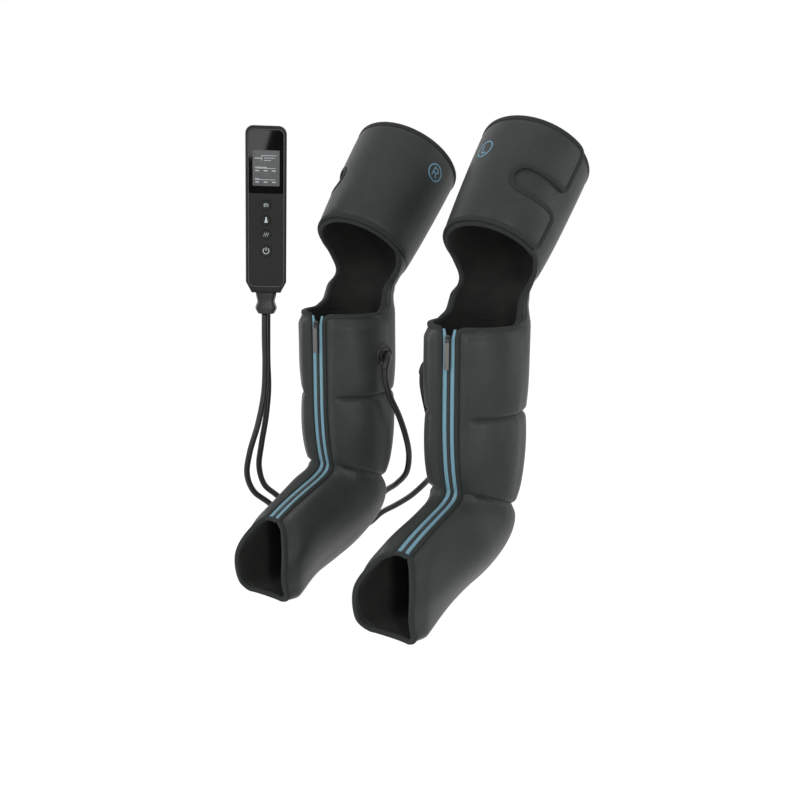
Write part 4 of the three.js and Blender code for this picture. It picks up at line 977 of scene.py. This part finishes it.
def flap_outline():
    """The wrap's outline from its root, along its bottom, round the flap's two tabs and back along its top.
    Each point is an angle round the cuff times its radius, and a height."""
    edge = FLAP_RADIUS * sin(-FLAP_EDGE_ANGLE - FLAP_MIDDLE) + FLAP_CORNER
    slot_end = FLAP_RADIUS * sin(-FLAP_SLOT_ANGLE - FLAP_MIDDLE) - FLAP_SLOT_HALF_HEIGHT

    def tab(low, high):
        lower, upper = (edge, low + FLAP_CORNER), (edge, high - FLAP_CORNER)
        return arc(lower, FLAP_CORNER, 270, 180) + arc(upper, FLAP_CORNER, 180, 90)

    flat = tab(0, FLAP_SLOT_HEIGHT - FLAP_SLOT_HALF_HEIGHT)
    flat += arc((slot_end, FLAP_SLOT_HEIGHT), FLAP_SLOT_HALF_HEIGHT, -90, 90, 24)
    flat += tab(FLAP_SLOT_HEIGHT + FLAP_SLOT_HALF_HEIGHT, CUFF_LENGTH)
    root = FLAP_RADIUS * WRAP_ROOT_ANGLE
    tabs = [(FLAP_RADIUS * (FLAP_MIDDLE + asin(x / FLAP_RADIUS)), z) for x, z in flat]
    return np.array([(root, 0), *tabs, (root, CUFF_LENGTH)])


def wrap_points(flat, outset):
    return cuff_skin(flat[:, 1], flat[:, 0] / FLAP_RADIUS, outset)


def distance_to(points, outline):
    """The least distance of each point to an open outline."""
    best = np.full(len(points), np.inf)
    for a, b in zip(outline[:-1], outline[1:]):
        line = b - a
        share = np.clip((points - a) @ line / max(line @ line, 1e-12), 0, 1)
        best = np.minimum(best, np.linalg.norm(points - a - share[:, None] * line, axis=1))
    return best


def hinge_the_flap(piece, side):
    """Bakes the piece's place into its points."""
    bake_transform(piece)


def thigh_wrap(side):
    """The cuff's outer layer with its notched flap, in one piece of padded cloth."""
    outline = even(flap_outline(), 0.0016)[0]
    loop = np.concatenate([outline, np.linspace(outline[-1], outline[0], 100)[1:-1]])
    across = np.arange(loop[:, 0].min(), loop[:, 0].max(), WRAP_PITCH)
    across, height = (grid.ravel() for grid in np.meshgrid(across, np.arange(0, CUFF_LENGTH, WRAP_PITCH)))
    inside = joined(across + (np.round(height / WRAP_PITCH) % 2) * WRAP_PITCH / 2, height)
    inside = inside[distance_to(inside, np.concatenate([loop, loop[:1]])) > WRAP_PITCH * 0.6]
    every = [Vector(p) for p in np.concatenate([loop, inside])]
    found = delaunay_2d_cdt(every, [], [list(range(len(loop)))], 1, 1e-7)
    flat = np.array([tuple(p) for p in found[0]])
    triangles = [list(face) for face in found[2]]
    before = 1 - ease(flat[:, 0] / FLAP_RADIUS, *WRAP_BACK_FADE)
    puff = WRAP_PUFF * ease(distance_to(flat, outline), *WRAP_PUFF_FADE)
    outer = wrap_points(flat, (puff - WRAP_SINK) * before)
    points = np.concatenate([outer, wrap_points(flat, -WRAP_THICKNESS)])
    size = len(flat)
    faces = triangles + [[i + size for i in reversed(face)] for face in triangles]
    edges = [edge for face in triangles for edge in zip(face, face[1:] + face[:1])]
    known = set(edges)
    faces += [[b, a, a + size, b + size] for a, b in edges if (b, a) not in known]
    leg_piece(side, "wrap", (points, faces), "outer_cloth", hinge_the_flap, ["thigh_wrap", "thigh_flap"])


def wrap_binding(side):
    """Ribbed binding along the wrap's bottom, round the flap's tabs and along its top."""
    outline = softened(even(flap_outline(), 0.0012)[0], 2)
    tangents = unit(np.gradient(outline, axis=0))
    inward = joined(tangents[:, 1], -tangents[:, 0])
    flat = even(outline + inward * (BINDING_WIDTH / 2 - 0.0006), 0.0014)[0]
    angle = flat[:, 0] / FLAP_RADIUS
    behind = ease(angle, *WRAP_BACK_FADE) * (1 - ease(flat[:, 1], 0.01, 0.02))
    proud = blend(0.0014, -0.0007, behind)
    tape = sweep(wrap_points(flat, 0.0), cuff_normal(angle), BINDING_WIDTH / 2, proud, -WRAP_THICKNESS, 14)
    leg_piece(side, "wrap_binding", tape, "binding_cloth", hinge_the_flap)


# Hose connector

SOCKET_SEAT = blend(CALF_TOP_HALF_WIDTH, CALF_SEAM_HALF_WIDTH, along_at(SOCKET_HEIGHT)) + CHAMBER_CROWN


def hose_socket(side):
    """A moulded rubber grommet: a domed flange with a rolled lip round the elbow.
    Its profile is a row of radii and heights over the seat."""
    bore, rim, top = ELBOW_DIAMETER / 2 + CLEARANCE, SOCKET_RADIUS, SOCKET_THICKNESS
    profile = np.array([
        (bore, -0.004), (rim - 0.003, -0.004), (rim - 0.0005, -0.002), (rim, 0), (rim, 0.0008),
        (rim - 0.0006, 0.0016), (rim - 0.002, 0.0019), (rim - 0.004, 0.0016), (rim - 0.0052, 0.002),
        (rim - 0.0064, top), (rim - 0.008, top + 0.0007), (bore + 0.0022, top + 0.0009),
        (bore + 0.001, top + 0.0005), (bore + 0.0002, top - 0.0004), (bore, top - 0.001),
    ])
    radius, out = profile.T[:, :, None]
    y, z = SOCKET_Y + radius * np.cos(circle(48)), SOCKET_HEIGHT + radius * np.sin(circle(48))
    rings = joined(SOCKET_SEAT + out, y, z)
    grommet = rings.reshape(-1, 3), grid_faces(*rings.shape[:2], 0, True, True)
    leg_piece(side, "socket", grommet, "hose_rubber", nodes=["hose_socket"])


def socket_hood(side):
    """The raised crescent of the socket, behind the elbow."""
    turn = np.radians(np.linspace(-95, 95, 60))
    y, z = SOCKET_Y + HOOD_RADIUS * np.cos(turn), SOCKET_HEIGHT + HOOD_RADIUS * np.sin(turn)
    height = HOOD_HEIGHT * np.sqrt(np.maximum(np.cos(turn * 90 / 95.5), 0.0))
    hood = sweep(joined(SOCKET_SEAT + 0.0016, y, z), [1, 0, 0], HOOD_HALF_WIDTH, height, -0.0008, 12, 2.4)
    leg_piece(side, "socket_hood", hood, "hose_rubber")


def smooth_path(points, per_step=12):
    """A smooth line through points, by centripetal Catmull-Rom."""
    p = np.asarray(points, float)
    p = np.concatenate([[2 * p[0] - p[1]], p, [2 * p[-1] - p[-2]]])
    out = []
    for near in (p[i:i + 4] for i in range(len(p) - 3)):
        knots = np.concatenate([[0], np.cumsum(np.sqrt(np.linalg.norm(np.diff(near, axis=0), axis=1)))])
        t = np.linspace(knots[1], knots[2], per_step, endpoint=False)[:, None]

        def between(start, end, low, high):
            low, high = knots[low], knots[high]
            return start * (high - t) / (high - low) + end * (t - low) / (high - low)

        a, b, c = (between(near[k], near[k + 1], k, k + 1) for k in range(3))
        out.append(between(between(a, b, 0, 2), between(b, c, 1, 3), 1, 2))
    return np.concatenate(out + [p[-2:-1]])


def elbow(side):
    """The stub that turns the hose down from the calf, with a collar where the hose is pushed on."""
    start = np.array([CALF_TOP_HALF_WIDTH + CHAMBER_CROWN, SOCKET_Y, SOCKET_HEIGHT])
    route = start + np.array([ELBOW_REACH, -ELBOW_LEAN, -ELBOW_DROP]) * ELBOW_SHARES
    route = np.concatenate([[start - [ELBOW_ROOT, 0, 0]], route, [route[-1] - [0, 0, ELBOW_ROOT]]])
    path = even(smooth_path(route), 0.0008)[0]
    run = lengths_along(path)
    radius = ELBOW_DIAMETER / 2 + 0.0005 * np.exp(-(((run - run[-1] + 0.003) / 0.0016) ** 2))
    radius = np.minimum(radius, np.sqrt(np.maximum((run[-1] - run) * 0.03, 0)) + HOSE_DIAMETER / 2 - 0.0004)
    tangents = unit(np.gradient(path, axis=0))
    across = unit(np.cross(tangents, [0, 1, 0]))
    up = np.cross(across, tangents)
    turn = circle(ELBOW_SIDES)[:, None]
    out = across[:, None] * np.cos(turn) + up[:, None] * np.sin(turn)
    rings = path[:, None] + radius[:, None, None] * out
    stub = rings.reshape(-1, 3), tube_faces(*rings.shape[:2])
    leg_piece(side, "elbow", stub, "hose_rubber", nodes=["hose_elbow"])


def free_hose(side):
    """A hose from the handset's plug to a calf's elbow, on a smooth curve through its route."""
    path = smooth_path(HOSE_ROUTES[side])
    curve = bpy.data.curves.new(f"{side}_air_hose", "CURVE")
    curve.dimensions = "3D"
    spline = curve.splines.new("POLY")
    spline.points.add(len(path) - 1)
    for point, place in zip(spline.points, path):
        point.co = (*place, 1)
    curve.bevel_depth = HOSE_DIAMETER / 2
    curve.bevel_resolution = 6
    curve.use_fill_caps = True
    curve.materials.append(MATERIALS["hose_rubber"])
    piece = add(f"{side}_air_hose", curve)
    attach(piece, ROOT)
    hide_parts(f"{side}_hose")


# Handset

def on_handset(points):
    """Points of the handset's own frame, put into the row frame."""
    x, y, z = np.moveaxis(np.asarray(points, float), -1, 0)
    turn, roll = HANDSET_TURN, HANDSET_ROLL
    x, z = x * cos(roll) + z * sin(roll), z * cos(roll) - x * sin(roll)
    return joined(x * cos(turn) - y * sin(turn), x * sin(turn) + y * cos(turn), z) + HANDSET_PLACE


FACE_Y = -HANDSET_DEPTH / 2 + FACE_SINK


def face_line():
    """The fine raised line round the handset's face."""
    half, top, foot = FACE_HALF_WIDTH + FACE_LINE_GAP, FACE_TOP + FACE_LINE_GAP, FACE_FOOT - FACE_LINE_GAP
    line = []
    for x, z, start in ((half, top, 0), (-half, top, 90), (-half, foot, 180), (half, foot, 270)):
        centre = (x - copysign(FACE_CORNER, x), z - copysign(FACE_CORNER, z))
        line += arc(centre, FACE_CORNER, start, start + 90, 12)
    line = even(np.array(line + line[:1]), 0.0015)[0][:-1]
    path = joined(line[:, 0], -HANDSET_DEPTH / 2, line[:, 1])
    points, faces, uv = sweep(path, [0, -1, 0], CASE_LINE_HALF_WIDTH, CASE_LINE_HEIGHT, -0.0004, 8, 2.4, True)
    new_piece("face_line", on_handset(points), faces, uv, "case_plastic", ROOT, MATERIALS["line_plastic"])


def flat_marks(name, loops, depth, slot, body=ROOT, material=None):
    """Thin printed shapes, each a loop of points across and up the handset's face."""
    points, faces = [], []
    for loop in loops:
        faces += tube_faces(2, len(loop), len(points))
        points += [(x, y, z) for y in (depth, depth - MARK_THICKNESS) for x, z in loop]
    new_piece(name, on_handset(points), faces, None, slot, body, material).data.shade_flat()


def bar(x0, x1, z0, z1):
    return [(x0, z0), (x1, z0), (x1, z1), (x0, z1)]


def stroke(points, half_width):
    """The outline of a line of even width with square ends."""
    points = np.array(points, float)
    tangents = unit(np.gradient(points, axis=0))
    normals = joined(-tangents[:, 1], tangents[:, 0]) * half_width
    points[0] -= tangents[0] * half_width * 0.6
    points[-1] += tangents[-1] * half_width * 0.6
    return [*(points + normals), *(points - normals)[::-1]]


def display():
    """The lit screen seen through the window, with rows of plain marks and level bars.
    A mark is its left, right, lower and upper edge, as shares of the screen."""
    foot = FACE_TOP - WINDOW_HEIGHT
    square = bar(-FACE_HALF_WIDTH, FACE_HALF_WIDTH, foot, foot + FACE_CORNER * 1.2)
    flat_marks("window_foot", [square], FACE_Y - 0.00001, "window_glass")
    area = bar(-LCD_HALF_WIDTH, LCD_HALF_WIDTH, LCD_FOOT, LCD_TOP)
    flat_marks("display_area", [area], FACE_Y - 0.00002, "screen")
    marks = [(0.08, 0.33, 0.765, 0.785), (0.335, 0.35, 0.71, 0.85), (0.35, 0.40, 0.84, 0.86)]
    for i, count in enumerate((7, 6, 4)):
        low = 0.845 - i * 0.068
        marks += [(0.43 + j * 0.066, 0.48 + j * 0.066, low, low + 0.017) for j in range(count)]
    for base, count in ((0.49, 12), (0.17, 4)):
        marks.append((0.1, 0.85, base, base + 0.012))
        marks += [(0.1 + j * 0.036, 0.125 + j * 0.036, base + 0.02, base + 0.045) for j in range(count)]
        marks += [(0.1 + j * 0.31, 0.24 + j * 0.31, base - 0.075, base - 0.05) for j in range(3)]
    marks = np.array(marks)
    across, up = blend(-LCD_HALF_WIDTH, LCD_HALF_WIDTH, marks[:, :2]), blend(LCD_FOOT, LCD_TOP, marks[:, 2:])
    loops = [bar(*sides, *ends) for sides, ends in zip(across, up)]
    flat_marks("display_marks", loops, FACE_Y - 0.00012, "screen", material=MATERIALS["print_white"])


def button_marks():
    """Plain function marks: a mode mark, a strength cone, heat waves and the power sign."""
    mode = [[(-0.0022, -0.0018), (-0.0022, 0.0017)]]
    for x in (-0.0011, 0.0011):
        arch = [(x + 0.0011 * cos(t), 0.0004 + 0.0012 * sin(t)) for t in np.linspace(pi, 0, 17)]
        mode.append(arch + [(x + 0.0011, -0.0004), (x + 0.0011, -0.0018)])
    slope = [(0.0021, -0.0029), (0.0016, -0.0016), (0.0008, 0.0008), (0.0008, 0.0030)]
    cone = slope + [(-x, z) for x, z in reversed(slope)]
    heat = [[(x + 0.0005 * w + 0.0004 * sin(w * pi), 0.0021 * w) for w in np.linspace(-1, 1, 16)]
            for x in (-0.0020, 0, 0.0020)]
    turn = np.radians(np.linspace(38, 322, 40))
    power = [0.0029 * joined(np.sin(turn), np.cos(turn)), [(0, 0.0002), (0, 0.0033)]]
    marks = (("mode", mode, 1, 1.25), ("intensity", [cone], 0, 1.35), ("heat", heat, 0.7, 1.3),
             ("power", power, 1.15, 1.5))
    for name, lines, weight, size in marks:
        loops = [stroke(line, MARK_HALF_WIDTH * weight) if weight else line for line in lines]
        loops = [[(size * x, size * z + BUTTON_HEIGHTS[name]) for x, z in loop] for loop in loops]
        flat_marks(f"{name}_mark", loops, FACE_Y + BUTTON_SINK - 0.00002, "case_plastic", f"{name}_button",
                   MATERIALS["print_white"])


def hose_plug():
    """The waisted rubber grip below the handset, with a raised line along each wavy side, painted light grey
    as the highlight along its edges.
    """
    share = np.linspace(0, 1, PLUG_RINGS)
    places, *halves = np.array(PLUG_LEVELS).T
    width, depth = (softened(np.interp(share, places, half)[:, None], 3)[:, 0] for half in halves)
    round_end = np.sqrt(np.clip((1 - share) / 0.05, 0.35, 1))
    z = -HANDSET_HEIGHT / 2 - CLEARANCE - share * PLUG_LENGTH
    turn = circle(PLUG_SIDES)
    x = (width * round_end)[:, None] * rounded(np.cos(turn), PLUG_SQUARENESS)
    y = (depth * round_end)[:, None] * rounded(np.sin(turn), PLUG_SQUARENESS)
    rings = joined(x, y, z[:, None]).reshape(-1, 3)
    faces = tube_faces(PLUG_RINGS, PLUG_SIDES)
    grip = new_piece("plug_grip", on_handset(rings), faces, None, "hose_rubber", ROOT)
    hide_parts("hose_plug")
    for name, direction in (("left", -1), ("right", 1)):
        for face, front in (("front", -1), ("back", 1)):
            line = joined(direction * (width - RIB_INSET), front * (depth * 0.86), z)[5:-5]
            points, faces, uv = sweep(line, [0, front, 0], RIB_HALF_WIDTH, 0.0006, -0.0022, 10, 2.2)
            # Each rib is raised, and its light grey paints the highlight along the plug's edge
            new_piece(f"plug_{face}_{name}_rib", on_handset(points), faces, uv, "hose_rubber", ROOT,
                      MATERIALS["painted_highlight_rubber"])


# The lines of each side's letter, R or L, one unit high about its middle
BOWL = arc((0.05, 0.24), 0.26, 90, -90)
LETTERS = {
    "right": [[(-0.3, -0.5), (-0.3, 0.5), *BOWL, (-0.3, -0.02)], [(0.0, -0.02), (0.34, -0.5)]],
    "left": [[(-0.26, 0.5), (-0.26, -0.5), (0.32, -0.5)]],
}


def side_mark(side):
    """A ringed R or L on the cuff, in flat blue line."""
    middle_angle, middle_height = MARK_PLACES[side]
    radius = blend(CUFF_BOTTOM_RADIUS, CUFF_TOP_RADIUS, middle_height / CUFF_LENGTH)

    def line(name, flat, closed=False):
        angle = middle_angle + LEG_PLACE[side][2] * flat[:, 0] / radius
        path = cuff_skin(middle_height + flat[:, 1], angle, 0.0006)
        tape = sweep(path, cuff_normal(angle), MARK_LINE_HALF_WIDTH, 0.0004, -0.0006, 10, 3, closed)
        leg_piece(side, name, tape, "outer_cloth", f"{side}_thigh", material=MATERIALS["print_blue"])

    turn = circle(72)
    line("mark_ring", MARK_RING_RADIUS * joined(np.cos(turn), np.sin(turn)), True)
    for i, points in enumerate(LETTERS[side], 1):
        line(f"mark_line_{i}", softened(even(MARK_LETTER_HEIGHT * np.array(points), 0.0004)[0], 1))


# Camera, lamps and surroundings

def aim(thing, place, target, roll=0.0):
    thing.location = place
    thing.rotation_mode = "QUATERNION"
    turn = (Vector(target) - Vector(place)).to_track_quat("-Z", "Y")
    thing.rotation_quaternion = turn @ Quaternion((0, 0, 1), roll)


def camera():
    data = bpy.data.cameras.new("camera")
    data.lens, data.sensor_width, data.clip_end = CAMERA_LENS, CAMERA_SENSOR, 50
    thing = add("camera", data)
    aim(thing, CAMERA_PLACE, CAMERA_TARGET)
    bpy.context.scene.camera = thing


def lamp(name, place, width, height, power, target=LAMP_TARGET, roll=0.0):
    data = bpy.data.lights.new(name, "AREA")
    data.shape, data.size, data.size_y, data.energy = "RECTANGLE", width, height, power
    aim(add(name, data), place, target, roll)


def seen_directly(tree):
    """1 for what the camera sees straight, in a reflection or through glass, 0 for light on the object."""
    rays = tree.nodes.new("ShaderNodeLightPath").outputs
    last = rays["Is Camera Ray"]
    for kind in ("Is Glossy Ray", "Is Transmission Ray"):
        last = node(tree, "Math", last, rays[kind], operation="MAXIMUM")
    return last


def surroundings():
    """A white world for the camera, grey light on the object, and a white floor with a soft shadow."""
    scene = bpy.context.scene
    scene.view_settings.view_transform = "Standard"
    scene.world = bpy.data.worlds.new("studio")
    scene.world.use_nodes = True
    tree = scene.world.node_tree
    background = tree.nodes["Background"].inputs
    background["Color"].default_value = (1, 1, 1, 1)
    level = node(tree, "MapRange", seen_directly(tree), To_Min=WORLD_LEVEL, To_Max=1)
    tree.links.new(level, background["Strength"])

    material = bpy.data.materials.new("floor")
    material.use_nodes = True
    tree = material.node_tree
    tree.nodes.clear()
    share = node(tree, "Math", seen_directly(tree), 1 - FLOOR_SHADOW_SHARE, operation="MULTIPLY")
    matt, white = node(tree, "BsdfDiffuse", (0.9, 0.9, 0.9, 1)), node(tree, "Emission", Strength=FLOOR_LEVEL)
    output = tree.nodes.new("ShaderNodeOutputMaterial")
    tree.links.new(node(tree, "MixShader", share, matt, white), output.inputs["Surface"])
    mesh = bpy.data.meshes.new("floor")
    half = FLOOR_HALF_SIZE
    mesh.from_pydata([(x, y, 0) for x, y in bar(-half, half, -half, half)], [], [(0, 1, 2, 3)])
    mesh.materials.append(material)
    add("floor", mesh)


camera()
for side in LEG_PLACE:
    free_hose(side)
surroundings()
for name, (place, width, height, power) in LAMPS.items():
    lamp(name, place, width, height, power)
lamp("window_lamp", *WINDOW_LAMP, WINDOW_LAMP_TARGET, WINDOW_LAMP_ROLL)

LEG_PIECES = (
    sleeve, boot_lining, edge_bindings, zip_tapes, zip_teeth, zip_end_cover, knee_panel,
    cuff_core, cuff_rim, thigh_wrap, wrap_binding, hose_socket, socket_hood, elbow,
)
for side in LEG_PLACE:
    for build in LEG_PIECES:
        build(side)
    for part in ("slider", "pull"):
        refined(f"{side}_zip_{part}", f"{side}_{part}", SMALL_ROUNDING)
    side_mark(side)

for name in ("handset_front_cover", "handset_rear_cover"):
    refined(name, ROOT, CASE_ROUNDING)
refined("display_window", ROOT, WINDOW_ROUNDING)
for name in BUTTON_HEIGHTS:
    refined(f"{name}_button", f"{name}_button", SMALL_ROUNDING)
face_line()
display()
button_marks()
hose_plug()
for name, thing in frame["nodes"].items():
    thing.data.materials.clear()
    thing.data.materials.append(MATERIALS[SLOTS[name]])
